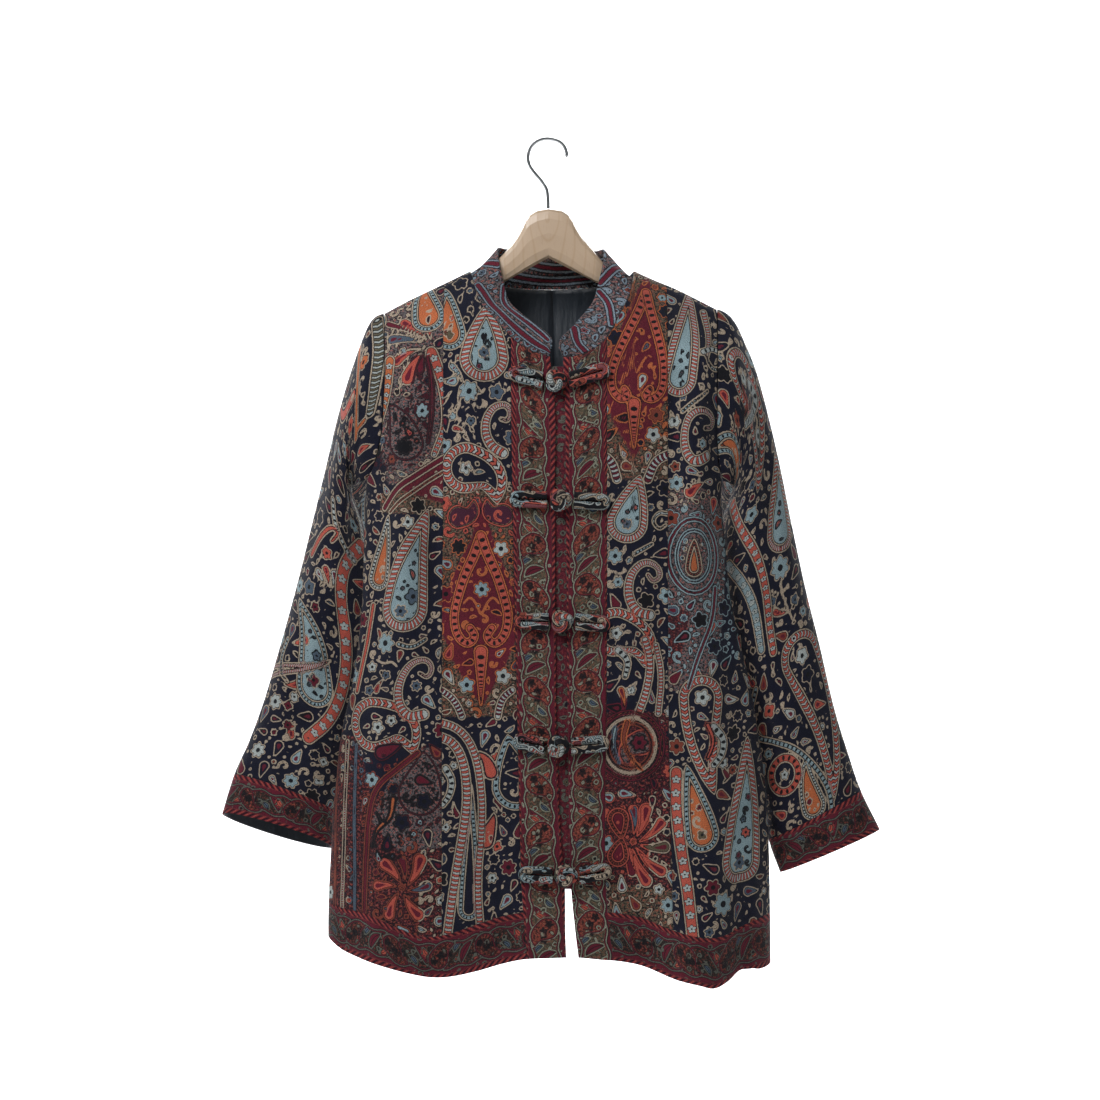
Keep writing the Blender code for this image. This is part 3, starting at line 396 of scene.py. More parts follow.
LEFT_EDGE = read_column(BODY_SECTIONS, 1)
RIGHT_EDGE = read_column(BODY_SECTIONS, 2)
SIDE_Y = read_column(BODY_SECTIONS, 3)
FRONT_DEPTH = read_column(BODY_SECTIONS, 4)
BACK_DEPTH = read_column(BODY_SECTIONS, 5)
RIDGE = read_column(SHOULDER_RIDGE, 1)
LEFT_ARMHOLE = read_column(ARMHOLES, 1)
RIGHT_ARMHOLE = read_column(ARMHOLES, 2)
FRONT_NECK_CURVE = read_column(FRONT_NECK, 1)
BACK_NECK_CURVE = read_column(BACK_NECK, 1)
SEAM_CURVES = [read_column(FRONT_SEAMS, column) for column in range(1, 7)]
FRONT_HEM_CURVE = read_column(FRONT_HEM, 1)
FRONT_BORDER_CURVE = read_column(FRONT_BORDER, 1)
BACK_HEM_CURVE = read_column(BACK_HEM, 1)


def rounded(distance, reach):
    part = np.clip(distance / reach, 0.0, 1.0)
    return np.sqrt(1.0 - (1.0 - part) ** 2)


def opened(distance, reach, power):
    part = np.clip(distance / reach, 0.0, 1.0)
    return np.sin(part * math.pi / 2) ** power


def fold_height(folds, x, drop):
    """Sum of soft ridges and troughs, each fading in and out along its length."""
    total = np.zeros_like(x)
    for top_x, top_drop, low_x, low_drop, half_width, height in folds:
        along = np.clip((drop - top_drop) / (low_drop - top_drop), 0.0, 1.0)
        middle = top_x + (low_x - top_x) * along
        across = (x - middle) / half_width
        total += height * np.sin(along * math.pi) ** FOLD_FADE * np.exp(-across ** 2)
    return total


def body_y(x, drop, front):
    """Depth of the body's outer face at a place on the front or the back."""
    inset = np.minimum(x - look_up(LEFT_EDGE, drop), look_up(RIGHT_EDGE, drop) - x)
    below = drop - look_up(RIDGE, x)
    tip = rounded(inset, EDGE_RADIUS) * rounded(below, EDGE_RADIUS)
    reach = FRONT_SIDE_REACH if front else BACK_SIDE_REACH
    power = 1.0 if front else SIDE_OPENING_POWER
    spread = opened(inset, reach, power) * opened(below, TOP_REACH, 1.0)
    depth = look_up(FRONT_DEPTH if front else BACK_DEPTH, drop)
    folds = fold_height(FRONT_FOLDS if front else BACK_FOLDS, x, drop)
    out = EDGE_RADIUS * tip + (depth - EDGE_RADIUS + folds) * spread + SEAM_GAP / 2
    middle = look_up(SIDE_Y, drop)
    return middle - out if front else middle + out


def body_points(x, drop, front):
    return np.stack([x, body_y(x, drop, front), -drop], axis=-1)


def body_normals(x, drop, front):
    """Outward direction of the body's outer face."""
    step = SLOPE_STEP
    slope_x = (body_y(x + step, drop, front) - body_y(x - step, drop, front)) / (2 * step)
    slope_drop = (body_y(x, drop + step, front) - body_y(x, drop - step, front)) / (2 * step)
    outward = np.stack([slope_x, -np.ones_like(x), -slope_drop], axis=-1)
    if not front:
        outward = -outward
    return outward / np.linalg.norm(outward, axis=-1, keepdims=True)


def front_top(x):
    inside = (x > NECK_LEFT_X) & (x < NECK_RIGHT_X)
    return np.where(inside, look_up(FRONT_NECK_CURVE, x), look_up(RIDGE, x))


def back_top(x):
    inside = (x > NECK_LEFT_X) & (x < NECK_RIGHT_X)
    return np.where(inside, look_up(BACK_NECK_CURVE, x), look_up(RIDGE, x))


def left_side(drop):
    return np.where(drop < UNDERARM_DROP, look_up(LEFT_ARMHOLE, drop), look_up(LEFT_EDGE, drop))


def right_side(drop):
    return np.where(drop < UNDERARM_DROP, look_up(RIGHT_ARMHOLE, drop), look_up(RIGHT_EDGE, drop))


def seam_line(number, shift):
    """One long seam of the fronts, moved sideways by half a seam gap."""
    return lambda drop: look_up(SEAM_CURVES[number], drop) + shift * SEAM_GAP / 2


def vent_line(column, shift):
    keys = [row[0] for row in CENTRE_BACK]
    values = [row[column] for row in CENTRE_BACK]
    return lambda drop: np.interp(drop, keys, values) + shift * SEAM_GAP / 2


def above_border(x):
    return look_up(FRONT_BORDER_CURVE, x) - SEAM_GAP / 2


def below_border(x):
    return look_up(FRONT_BORDER_CURVE, x) + SEAM_GAP / 2


def front_hem(x):
    return look_up(FRONT_HEM_CURVE, x)


def back_hem(x):
    return look_up(BACK_HEM_CURVE, x)


def above_back_border(x):
    return back_hem(x) - BORDER_HEIGHT - SEAM_GAP / 2


def below_back_border(x):
    return back_hem(x) - BORDER_HEIGHT + SEAM_GAP / 2


def lay_grid(columns, rows, left, right, top, bottom):
    """Places of a panel's grid between its four boundary lines."""
    across, down = np.meshgrid(np.array(columns), np.array(rows))
    drop = 200.0 + 700.0 * down
    for _ in range(12):
        x = left(drop) * (1 - across) + right(drop) * across
        drop = top(x) * (1 - down) + bottom(x) * down
    x = left(drop) * (1 - across) + right(drop) * across
    return x, drop


def soft_start(count):
    """Shares from 0 to 1 that lie closely together near 0."""
    return [1 - math.cos(step / count * math.pi / 2) for step in range(count + 1)]


def soft_end(count):
    return [1 - share for share in reversed(soft_start(count))]


def even(count):
    return [step / count for step in range(count + 1)]


ARMHOLE_ROWS = 8
LOWER_ROWS = 8


def panel_rows(side, top, bottom):
    """Row shares with a row exactly at the underarm on the panel's outer side."""
    underarm_x = side(np.array(UNDERARM_DROP))
    start = float(top(underarm_x))
    share = (UNDERARM_DROP - start) / (float(bottom(underarm_x)) - start)
    upper = [share * (1 - math.cos(math.pi * k / ARMHOLE_ROWS)) / 2 for k in range(ARMHOLE_ROWS + 1)]
    lower = [share + (1 - share) * k / LOWER_ROWS for k in range(1, LOWER_ROWS + 1)]
    return upper + lower


def grid_normals(points, wrap=False):
    """Unit directions square to a grid of points."""
    if wrap:
        padded = np.concatenate([points[:, -1:], points, points[:, :1]], axis=1)
        across = (padded[:, 2:] - padded[:, :-2])
    else:
        across = np.gradient(points, axis=1)
    down = np.gradient(points, axis=0)
    normals = np.cross(across, down)
    return normals / np.linalg.norm(normals, axis=-1, keepdims=True)


def ring_normals(points):
    """Outward directions within each ring's own plane."""
    centres = points.mean(axis=1)
    axes = np.gradient(centres, axis=0)
    across = np.roll(points, -1, axis=1) - np.roll(points, 1, axis=1)
    normals = np.cross(across, axes[:, None, :])
    normals = normals / np.linalg.norm(normals, axis=-1, keepdims=True)
    return normals * np.sign(np.sum(normals * (points - centres[:, None, :]), axis=-1).sum())


def sleeve_ring(table, folds, stations, angles, armhole, inward):
    """Points of a sleeve at ring stations, blended out of the armhole seam."""
    keys = np.arange(len(table), dtype=float)
    keyed = [(key,) + tuple(row) for key, row in zip(keys, table)]
    columns = [look_up(read_column(keyed, column), stations)[:, None] for column in range(1, 9)]
    outer_x, outer_drop, inner_x, inner_drop, middle_y, half_depth, tilt, tuck = columns
    lean = np.cos(angles)[None, :]
    swing = np.sin(angles)[None, :]
    x = (outer_x + inner_x) / 2 + (outer_x - inner_x) / 2 * lean
    drop = (outer_drop + inner_drop) / 2 + (outer_drop - inner_drop) / 2 * lean - tilt * swing
    y = middle_y - half_depth * swing
    x = x + inward * tuck * np.maximum(-swing, 0.0)
    points = np.stack([x, y, -drop], axis=-1)
    blend = np.clip(stations / ARMHOLE_BLEND, 0.0, 1.0)
    blend = (blend * blend * (3 - 2 * blend))[:, None, None]
    blend = np.concatenate([np.sqrt(blend), blend ** 1.8, blend], axis=-1)
    points = armhole[None] * (1 - blend) + points * blend
    normals = ring_normals(points)
    lift = np.zeros(points.shape[:2])
    degrees = np.degrees(angles)[None, :]
    for ring, angle, turn, half_length, half_width, height in folds:
        along = (stations[:, None] - ring) / half_length
        off = (degrees - angle - turn * (stations[:, None] - ring) + 180.0) % 360.0 - 180.0
        lift += height * np.exp(-along ** 2 - (off / half_width) ** 2)
    lift *= np.clip(stations / 1.0, 0.0, 1.0)[:, None]
    points = points + normals * lift[..., None]
    return points, ring_normals(points)


def frame_path(path):
    """Two directions square to a path at each of its points."""
    tangents = np.gradient(path, axis=0)
    tangents /= np.linalg.norm(tangents, axis=1, keepdims=True)
    first = np.cross(tangents[0], np.array([0.0, 1.0, 0.0]))
    first /= np.linalg.norm(first)
    firsts = []
    seconds = []
    for tangent in tangents:
        first = first - tangent * np.dot(first, tangent)
        first /= np.linalg.norm(first)
        firsts.append(first)
        seconds.append(np.cross(tangent, first))
    return np.array(firsts), np.array(seconds)


def lie_on_front(x, drop, height):
    """Point that many millimetres above the front's outer face."""
    x = np.array(x, dtype=float)
    drop = np.array(drop, dtype=float)
    return body_points(x, drop, True) + body_normals(x, drop, True) * height


# Fine grids.
CELL = 1.7
ARMHOLE_STEPS = 9
BACK_CELL = 2.6


def split(shares, counts):
    """Shares with each interval divided evenly into its own count of steps."""
    fine = [shares[0]]
    for start, end, count in zip(shares[:-1], shares[1:], counts):
        fine += [start + (end - start) * (step + 1) / count for step in range(count)]
    return fine


def counts_for(shares, span, cell):
    """How many steps of about one cell each interval of a span takes."""
    return [max(1, round((end - start) * span / cell)) for start, end in zip(shares[:-1], shares[1:])]


class Cloth:
    """Fine grid of one cloth piece with the pattern that is drawn on its outer face."""

    def __init__(self, points, normals, place):
        self.points = points
        self.normals = normals
        self.place = place
        self.spots = place.reshape(-1, 2)
        count = len(self.spots)
        self.large = np.zeros((count, 3))
        self.large[:, 0] = FAR
        self.small = np.zeros((count, 3))
        self.small[:, 0] = FAR
        self.style = np.zeros((count, 3))
        self.inks = {name: np.zeros((count, 4)) for name in INKS}
        self.low = self.spots.min(axis=0)
        self.high = self.spots.max(axis=0)
        bins = ((self.spots - self.low) / BIN).astype(int)
        self.wide = int(bins[:, 0].max()) + 1
        self.tall = int(bins[:, 1].max()) + 1
        keys = bins[:, 1] * self.wide + bins[:, 0]
        self.order = np.argsort(keys, kind="stable")
        self.starts = np.searchsorted(keys[self.order], np.arange(self.wide * self.tall + 1))

    def at(self, x, drop):
        """Place on the flat cloth of the point that the viewer sees at x and drop."""
        away = (self.points[..., 0] - x) ** 2 + (self.points[..., 2] + drop) ** 2
        away = away + np.where(self.normals[..., 1] > 0.2, HIDDEN_COST, 0.0)
        row, column = np.unravel_index(np.argmin(away), away.shape)
        return self.place[row, column] + (x - self.points[row, column, 0], drop + self.points[row, column, 2])

    def near(self, u, v, reach):
        """Numbers of the grid points in the bins within reach of a place on the flat cloth."""
        first_column = max(0, int((u - reach - self.low[0]) / BIN))
        last_column = min(self.wide - 1, int((u + reach - self.low[0]) / BIN))
        first_row = max(0, int((v - reach - self.low[1]) / BIN))
        last_row = min(self.tall - 1, int((v + reach - self.low[1]) / BIN))
        found = [np.empty(0, dtype=int)]
        for row in range(first_row, last_row + 1):
            start = self.starts[row * self.wide + min(first_column, self.wide - 1)]
            found.append(self.order[start:self.starts[row * self.wide + last_column + 1]])
        return np.concatenate(found)


FAR = 60.0
BIN = 6.0
HIDDEN_COST = 1.0e6
INKS = ("ground", "band", "field", "edge", "fill")

# Yarn colours, as linear red, green and blue.
YARNS = {
    "navy": (0.0050, 0.0062, 0.021),
    "black": (0.0042, 0.0042, 0.0075),
    "maroon": (0.140, 0.010, 0.026),
    "wine": (0.060, 0.007, 0.016),
    "coral": (0.560, 0.105, 0.072),
    "orange": (0.560, 0.150, 0.055),
    "rust": (0.260, 0.058, 0.036),
    "sky": (0.290, 0.395, 0.425),
    "steel": (0.085, 0.120, 0.165),
    "grey": (0.135, 0.130, 0.135),
    "cream": (0.485, 0.385, 0.285),
    "pale": (0.470, 0.510, 0.490),
    "olive": (0.120, 0.100, 0.062),
    "plum": (0.070, 0.014, 0.035),
    "bark": (0.022, 0.017, 0.013),
    "brick": (0.075, 0.018, 0.012),
    "sage": (0.125, 0.130, 0.105),
    "moss": (0.300, 0.300, 0.225),
    "mist": (0.215, 0.275, 0.330),
    "pink": (0.260, 0.075, 0.085),
}

def flat_places(points, front):
    """Flat cloth coordinates of points on the body, with the slopes unrolled."""
    x = points[..., 0]
    drop = -points[..., 2]
    xs = np.arange(-260.0, 262.0, 2.0)
    drops = np.arange(90.0, 962.0, 2.0)
    grid_x, grid_drop = np.meshgrid(xs, drops)
    depth = body_y(grid_x, grid_drop, front)
    step_x = np.clip(np.abs(np.diff(depth, axis=1)) / 2.0, 0.0, 3.0)
    step_drop = np.clip(np.abs(np.diff(depth, axis=0)) / 2.0, 0.0, 3.0)
    run_x = np.concatenate([np.zeros((len(drops), 1)), np.cumsum(2.0 * np.sqrt(1 + step_x ** 2), axis=1)], axis=1)
    run_drop = np.concatenate([np.zeros((1, len(xs))), np.cumsum(2.0 * np.sqrt(1 + step_drop ** 2), axis=0)])
    run_x = run_x - run_x[:, len(xs) // 2][:, None]
    run_drop = run_drop - run_drop[len(drops) // 2][None, :]

    def read(table):
        across = np.clip((x - xs[0]) / 2.0, 0, len(xs) - 1.001)
        down = np.clip((drop - drops[0]) / 2.0, 0, len(drops) - 1.001)
        column = across.astype(int)
        row = down.astype(int)
        part_x = across - column
        part_drop = down - row
        upper = table[row, column] * (1 - part_x) + table[row, column + 1] * part_x
        lower = table[row + 1, column] * (1 - part_x) + table[row + 1, column + 1] * part_x
        return upper * (1 - part_drop) + lower * part_drop

    return np.stack([read(run_x), read(run_drop)], axis=-1)


def body_cloth(columns, rows, lines, front, depth=0.0):
    """Fine cloth on the body's form."""
    x, drop = lay_grid(columns, rows, *lines)
    points = body_points(x, drop, front)
    normals = body_normals(x, drop, front)
    place = flat_places(points, front)
    return Cloth(points - normals * depth, normals, place)


def ring_places(points):
    """Flat cloth coordinates of a tube, cut open along its inner side."""
    closed = np.concatenate([points, points[:, :1]], axis=1)
    steps = np.linalg.norm(np.diff(closed, axis=1), axis=-1)
    around = np.concatenate([np.zeros((len(points), 1)), np.cumsum(steps, axis=1)], axis=1)
    girth = around[:, -1:]
    count = points.shape[1]
    around = around[:, :-1] - around[:, count // 4][:, None]
    around = np.where(np.arange(count)[None, :] > count // 2, around - girth, around)
    centres = points.mean(axis=1)
    down = np.concatenate([[0.0], np.cumsum(np.linalg.norm(np.diff(centres, axis=0), axis=1))])
    return np.stack([around, np.broadcast_to(down[:, None], around.shape)], axis=-1)


def border_places(points, along_rows):
    """Coordinates along and across a border: the way along it and the distance from its middle."""
    grid = points if along_rows else points.transpose(1, 0, 2)
    middle = grid[len(grid) // 2]
    along = np.concatenate([[0.0], np.cumsum(np.linalg.norm(np.diff(middle, axis=0), axis=1))])
    steps = np.linalg.norm(np.diff(grid, axis=0), axis=-1)
    across = np.concatenate([np.zeros((1, grid.shape[1])), np.cumsum(steps, axis=0)])
    across = across - across[-1] / 2
    place = np.stack([np.broadcast_to(along, across.shape), across], axis=-1)
    return place if along_rows else place.transpose(1, 0, 2)

# Drawing.
def nearest_on_path(path, u, v):
    """Distance from a path, the way along it, and the distance to its right."""
    best = np.full(u.shape, np.inf)
    along = np.zeros(u.shape)
    side = np.zeros(u.shape)
    ahead = np.zeros(u.shape)
    start = 0.0
    for (u0, v0), (u1, v1) in zip(path[:-1], path[1:]):
        length = math.hypot(u1 - u0, v1 - v0)
        du = (u1 - u0) / length
        dv = (v1 - v0) / length
        raw = (u - u0) * du + (v - v0) * dv
        held = np.clip(raw, 0.0, length)
        away = np.hypot(u - u0 - held * du, v - v0 - held * dv)
        closer = away < best
        best = np.where(closer, away, best)
        along = np.where(closer, start + held, along)
        ahead = np.where(closer, start + raw, ahead)
        side = np.where(closer, (u - u0) * dv - (v - v0) * du, side)
        start += length
    return best, along, side, ahead, start


def bent_path(u0, v0, u1, v1, bend, curl, count=16):
    """Path from a drop's bulb to its tip, bowed sideways and curled at the tip."""
    length = math.hypot(u1 - u0, v1 - v0)
    du = (u1 - u0) / length
    dv = (v1 - v0) / length
    path = []
    for step in range(count + 1):
        share = step / count
        sideways = bend * length * math.sin(math.pi * share) + curl * length * share ** 3
        forward = share * length * (1 - 0.25 * abs(curl) * share ** 3)
        path.append((u0 + du * forward + dv * sideways, v0 + dv * forward - du * sideways))
    return path


def rounded_path(points, passes=2):
    """Path with its corners cut twice."""
    path = [tuple(point) for point in points]
    for _ in range(passes):
        cut = [path[0]]
        for (u0, v0), (u1, v1) in zip(path[:-1], path[1:]):
            cut.append((u0 * 0.75 + u1 * 0.25, v0 * 0.75 + v1 * 0.25))
            cut.append((u0 * 0.25 + u1 * 0.75, v0 * 0.25 + v1 * 0.75))
        path = cut + [path[-1]]
    return path


def circle_path(u, v, wide, high, turn=0.0, count=24):
    """Closed ring around a place."""
    angles = [turn + 2 * math.pi * step / count for step in range(count + 1)]
    return [(u + wide * math.cos(angle), v + high * math.sin(angle)) for angle in angles]


def stamp_large(cloth, near, distance, along, width, style, band, field, edge, mottle=0.0):
    """Draws one large shape over what is there."""
    old = cloth.large[near, 0]
    new = (distance < 0.0) | ((distance < old) & (old > 0.0))
    kept = near[new]
    width = np.broadcast_to(width, distance.shape)
    cloth.large[kept] = np.stack([distance[new], along[new], width[new]], axis=-1)
    cloth.style[kept, 0] = style
    cloth.small[near[distance < 0.0], 0] = FAR
    for name, ink, alpha in (("band", band, 0.0), ("field", field, mottle), ("edge", edge, 0.0)):
        cloth.inks[name][kept] = YARNS[ink] + (alpha,)


def stamp_small(cloth, near, distance, detail, style, fill, size=0.0, dark=0.0):
    """Draws one small shape over what is there."""
    old = cloth.small[near, 0]
    new = (distance < 0.0) | ((distance < old) & (old > 0.0))
    kept = near[new]
    size = np.broadcast_to(size, distance.shape)
    cloth.small[kept] = np.stack([distance[new], detail[new], size[new]], axis=-1)
    cloth.style[kept, 1] = style
    cloth.inks["fill"][kept] = YARNS[fill] + (dark,)


def places_near(cloth, points, reach):
    """Numbers and flat coordinates of the grid points around some places."""
    us = [point[0] for point in points]
    vs = [point[1] for point in points]
    span = max(max(us) - min(us), max(vs) - min(vs)) / 2 + reach
    near = cloth.near((max(us) + min(us)) / 2, (max(vs) + min(vs)) / 2, span)
    return near, cloth.spots[near, 0], cloth.spots[near, 1]


def draw_drop(cloth, bulb, tip, radius, bend, curl, width, style, band, field, edge="cream", mottle=0.0):
    """Large bent drop with its bands."""
    path = bent_path(bulb[0], bulb[1], tip[0], tip[1], bend, curl)
    near, u, v = places_near(cloth, path, radius + 8.0)
    if len(near) == 0:
        return
    away, along, side, ahead, length = nearest_on_path(path, u, v)
    share = along / length
    size = radius * (1 - share) ** 0.72 * (1 + 0.35 * share * (1 - share)) + 1.5 * share
    behind = np.arctan2(np.maximum(-ahead, 0.0), np.abs(side) + 1e-6)
    stamp_large(cloth, near, away - size, along - radius * behind, width, style, band, field, edge, mottle)


def draw_strip(cloth, path, half, taper, style, band, edge="cream"):
    """Band along a path with one row of motifs, narrowing towards its end."""
    near, u, v = places_near(cloth, path, half + 8.0)
    if len(near) == 0:
        return
    away, along, _, _, length = nearest_on_path(path, u, v)
    wide = half * (1 - taper * along / length)
    stamp_large(cloth, near, away - wide, along, wide, style + STRIP, band, band, edge)


def draw_patch(cloth, corners, ground, mottle):
    """Changes the ground inside a polygon."""
    u = cloth.spots[:, 0]
    v = cloth.spots[:, 1]
    inside = np.zeros(len(u), dtype=bool)
    for (u0, v0), (u1, v1) in zip(corners, corners[1:] + corners[:1]):
        if v0 != v1:
            crosses = (v0 > v) != (v1 > v)
            inside ^= crosses & (u < (u1 - u0) * (v - v0) / (v1 - v0) + u0)
    cloth.inks["ground"][inside] = YARNS[ground] + (mottle,)


def draw_leaf(cloth, base, tip, half, fill, bend=0.0, dark=0.0):
    """Small pointed leaf."""
    path = bent_path(base[0], base[1], tip[0], tip[1], bend, 0.0, 6)
    near, u, v = places_near(cloth, path, half + 3.0)
    if len(near) == 0:
        return
    away, along, side, _, length = nearest_on_path(path, u, v)
    size = half * np.sin(math.pi * np.clip(along / length, 0.02, 0.98)) ** 0.8
    stamp_small(cloth, near, away - size, side, 2.0, fill, half, dark)


def draw_flower(cloth, centre, radius, petals, turn, fill, depth=0.34, dark=0.0):
    """Small flower seen from above."""
    near, u, v = places_near(cloth, [centre], radius + 3.0)
    if len(near) == 0:
        return
    u = u - centre[0]
    v = v - centre[1]
    away = np.hypot(u, v)
    angle = np.arctan2(v, u) + turn
    rim = radius * (1 - depth + depth * np.abs(np.cos(petals * angle / 2)))
    stamp_small(cloth, near, away - rim, away, 1.0, fill, radius, dark)


def draw_small_drop(cloth, bulb, tip, radius, bend, curl, fill, dark=0.0):
    """Small bent drop with a core."""
    path = bent_path(bulb[0], bulb[1], tip[0], tip[1], bend, curl, 8)
    near, u, v = places_near(cloth, path, radius + 3.0)
    if len(near) == 0:
        return
    away, along, side, _, length = nearest_on_path(path, u, v)
    share = along / length
    size = radius * (1 - share) ** 0.8 + 0.8 * share
    stamp_small(cloth, near, away - size, side, 3.0, fill, radius, dark)


def draw_line(cloth, path, half, fill="cream", dark=0.0):
    """Thin stem or curl."""
    near, u, v = places_near(cloth, path, half + 3.0)
    if len(near) == 0:
        return
    away = nearest_on_path(path, u, v)[0]
    stamp_small(cloth, near, away - half - 1.2, away, 0.0, fill, half, dark)


STRIP = 10.0
PLAIN = 0.0
BEADS = 1.0
TICKS = 2.0
FLORETS = 3.0
CHEVRONS = 4.0

FILL_PASSES = (
    # radius, tries for each circle of that radius, kinds
    (10.0, 1.6, ("flower", "drop", "drop")),
    (7.0, 3.0, ("flower", "drop", "leaf", "curl")),
    (4.8, 4.5, ("flower", "leaf", "leaf", "curl", "drop")),
    (3.2, 5.0, ("leaf", "leaf", "dot", "flower")),
    (2.1, 4.5, ("dot", "dash", "dash")),
)
LIGHT_FILLS = ("sky", "navy", "coral", "pale", "black", "steel", "maroon", "navy", "rust", "sky")
DARK_FILLS = ("navy", "steel", "maroon", "black", "coral")


def scatter(cloth, seed, largest=10.5, gap=0.5, fills=LIGHT_FILLS, dash="cream"):
    """Fills the free ground with small flowers, leaves, drops, curls and dots, from large to small."""
    rng = np.random.default_rng(seed)
    area = float(np.prod(cloth.high - cloth.low))
    cells = {}
    for radius, tries, kinds in FILL_PASSES:
        if radius > largest:
            continue
        count = int(area / (math.pi * radius ** 2) * tries)
        places = rng.uniform(cloth.low, cloth.high, (count, 2))
        turns = rng.uniform(0, 2 * math.pi, count)
        choices = rng.integers(0, 1000, (count, 2))
        for (u, v), turn, (kind_pick, pick) in zip(places, turns, choices):
            near = cells.get((int(u // 24), int(v // 24)), ())
            if any((u - a) ** 2 + (v - b) ** 2 < (radius + r + gap) ** 2 for a, b, r in near):
                continue
            around = cloth.near(u, v, 0.1)
            if len(around) == 0:
                continue
            first = around[0]
            distance, _, width = cloth.large[first]
            inside = distance < -(width + 4.0 + radius * 0.8) and cloth.style[first, 0] < STRIP
            if not inside and distance < radius * 0.8 + 1.0:
                continue
            if cloth.small[first, 0] < radius * 0.8:
                continue
            for across in (-1, 0, 1):
                for down in (-1, 0, 1):
                    cells.setdefault((int(u // 24) + across, int(v // 24) + down), []).append((u, v, radius))
            bright = cloth.inks["field"][first, 2] > 0.1 if inside else False
            chosen = DARK_FILLS if bright else fills
            fill = chosen[pick % len(chosen)]
            dark = 1.0 if bright else 0.0
            kind = kinds[kind_pick % len(kinds)]
            du = math.cos(turn)
            dv = math.sin(turn)
            base = (u - du * radius, v - dv * radius)
            tip = (u + du * radius, v + dv * radius)
            if kind == "flower":
                draw_flower(cloth, (u, v), radius, 5 + pick % 3, turn, fill, dark=dark)
            elif kind == "leaf":
                draw_leaf(cloth, base, tip, radius * 0.45, fill, 0.15, dark)
            elif kind == "drop":
                start = (u - du * radius * 0.4, v - dv * radius * 0.4)
                draw_small_drop(cloth, start, tip, radius * 0.6, 0.12, 0.35, fill, dark)
            elif kind == "curl":
                path = [
                    (u + radius * (1 - k / 12) * math.cos(turn + k * 0.5), v + radius * (1 - k / 12) * math.sin(turn + k * 0.5))
                    for k in range(11)
                ]
                draw_line(cloth, path, 0.4, dark=dark)
            elif kind == "dot":
                draw_flower(cloth, (u, v), radius, 4, turn, fill, 0.15, dark)
            else:
                draw_leaf(cloth, base, tip, radius * 0.38, dash, 0.0, dark)


def fill_ground(cloth, colour, mottle=0.0, edge="cream"):
    """Gives the whole cloth one ground and one yarn for thin outlines."""
    cloth.inks["ground"][:] = YARNS[colour] + (mottle,)
    cloth.inks["edge"][:] = YARNS[edge] + (0.0,)


def spread_drops(cloth, seed, first_row=0):
    """Sets large drops in staggered rows wherever no large shape is drawn yet."""
    rng = np.random.default_rng(seed)
    kinds = (
        (25.0, 9.0, TICKS, "coral", "sky"), (24.0, 8.0, CHEVRONS, "coral", "navy"),
        (19.0, 5.5, BEADS, "sky", "orange"), (22.0, 7.0, BEADS, "sky", "navy"),
    )
    row = first_row
    v = cloth.low[1] + 50.0
    while v < cloth.high[1]:
        u = cloth.low[0] + (30.0 if row % 2 else 62.0)
        while u < cloth.high[0]:
            radius, width, style, band, field = kinds[int(rng.integers(len(kinds)))]
            bend, curl, lean = rng.uniform(-0.25, 0.25), rng.uniform(-0.3, 0.3), rng.uniform(-14.0, 14.0)
            near = cloth.near(u, v - 22.0, 30.0)
            if len(near) and cloth.large[near, 0].min() > 8.0:
                draw_drop(cloth, (u, v), (u + lean, v - 62.0), radius, bend, curl, width, style, band, field)
            u += 68.0
        v += 88.0
        row += 1


BORDER_PERIOD = 52.0
ROPE_WIDTH = 7.0


def draw_border(cloth, half, seed, start, field, medallion, edge):
    """Border with rope edges, leaning bean medallions with dark stars and slanting leaves."""
    u = cloth.spots[:, 0] + start
    v = cloth.spots[:, 1]
    everywhere = np.arange(len(u))
    phase = 2 * math.pi * u / BORDER_PERIOD
    fill_ground(cloth, "maroon", 0.0, edge)
    cloth.style[:, 2] = np.where(np.abs(v) > half - ROPE_WIDTH, np.sign(v) * 1.0, 0.0)
    inner = half - ROPE_WIDTH - 4.0
    rim = inner + 1.4 * np.sin(phase * 2 + np.sign(v))
    plain = np.zeros(len(u))
    stamp_large(cloth, everywhere, np.abs(v) - rim, u, plain, PLAIN, field, field, edge, 0.6)
    count = int((cloth.high[0] + start) / BORDER_PERIOD) + 2
    for number in range(-1, count):
        middle = number * BORDER_PERIOD - start
        side = 1.0 if number % 2 else -1.0
        if middle + BORDER_PERIOD < cloth.low[0] or middle - BORDER_PERIOD > cloth.high[0]:
            continue
        bulb = (middle - 6.0, side * inner * 0.16)
        tip = (middle + 17.0, -side * inner * 0.40)
        draw_drop(cloth, bulb, tip, inner * 0.86, side * 0.3, side * 0.3, 0.0, PLAIN, medallion, medallion, edge, 0.9)
        for turn, (across, down) in enumerate(((-11.0, 0.32), (-3.0, -0.12), (6.0, -0.1))):
            draw_flower(cloth, (middle + across, side * inner * down), 4.4, 5, 0.5 * turn, "black", 0.6, 1.0)
        leaf = middle + BORDER_PERIOD * 0.5
        draw_leaf(cloth, (leaf - 7.0, side * inner * 0.85), (leaf + 8.0, -side * inner * 0.75), 5.2, "maroon", 0.15)
        draw_leaf(cloth, (leaf + 4.0, side * inner * 0.8), (leaf + 13.0, side * inner * 0.0), 4.0, "coral", -0.2)
        draw_leaf(cloth, (leaf - 14.0, -side * inner * 0.1), (leaf - 4.0, -side * inner * 0.85), 3.8, "steel", 0.2)
    scatter(cloth, seed, 3.5, 1.2, ("coral", "rust", "maroon", "black", "olive"), "olive")

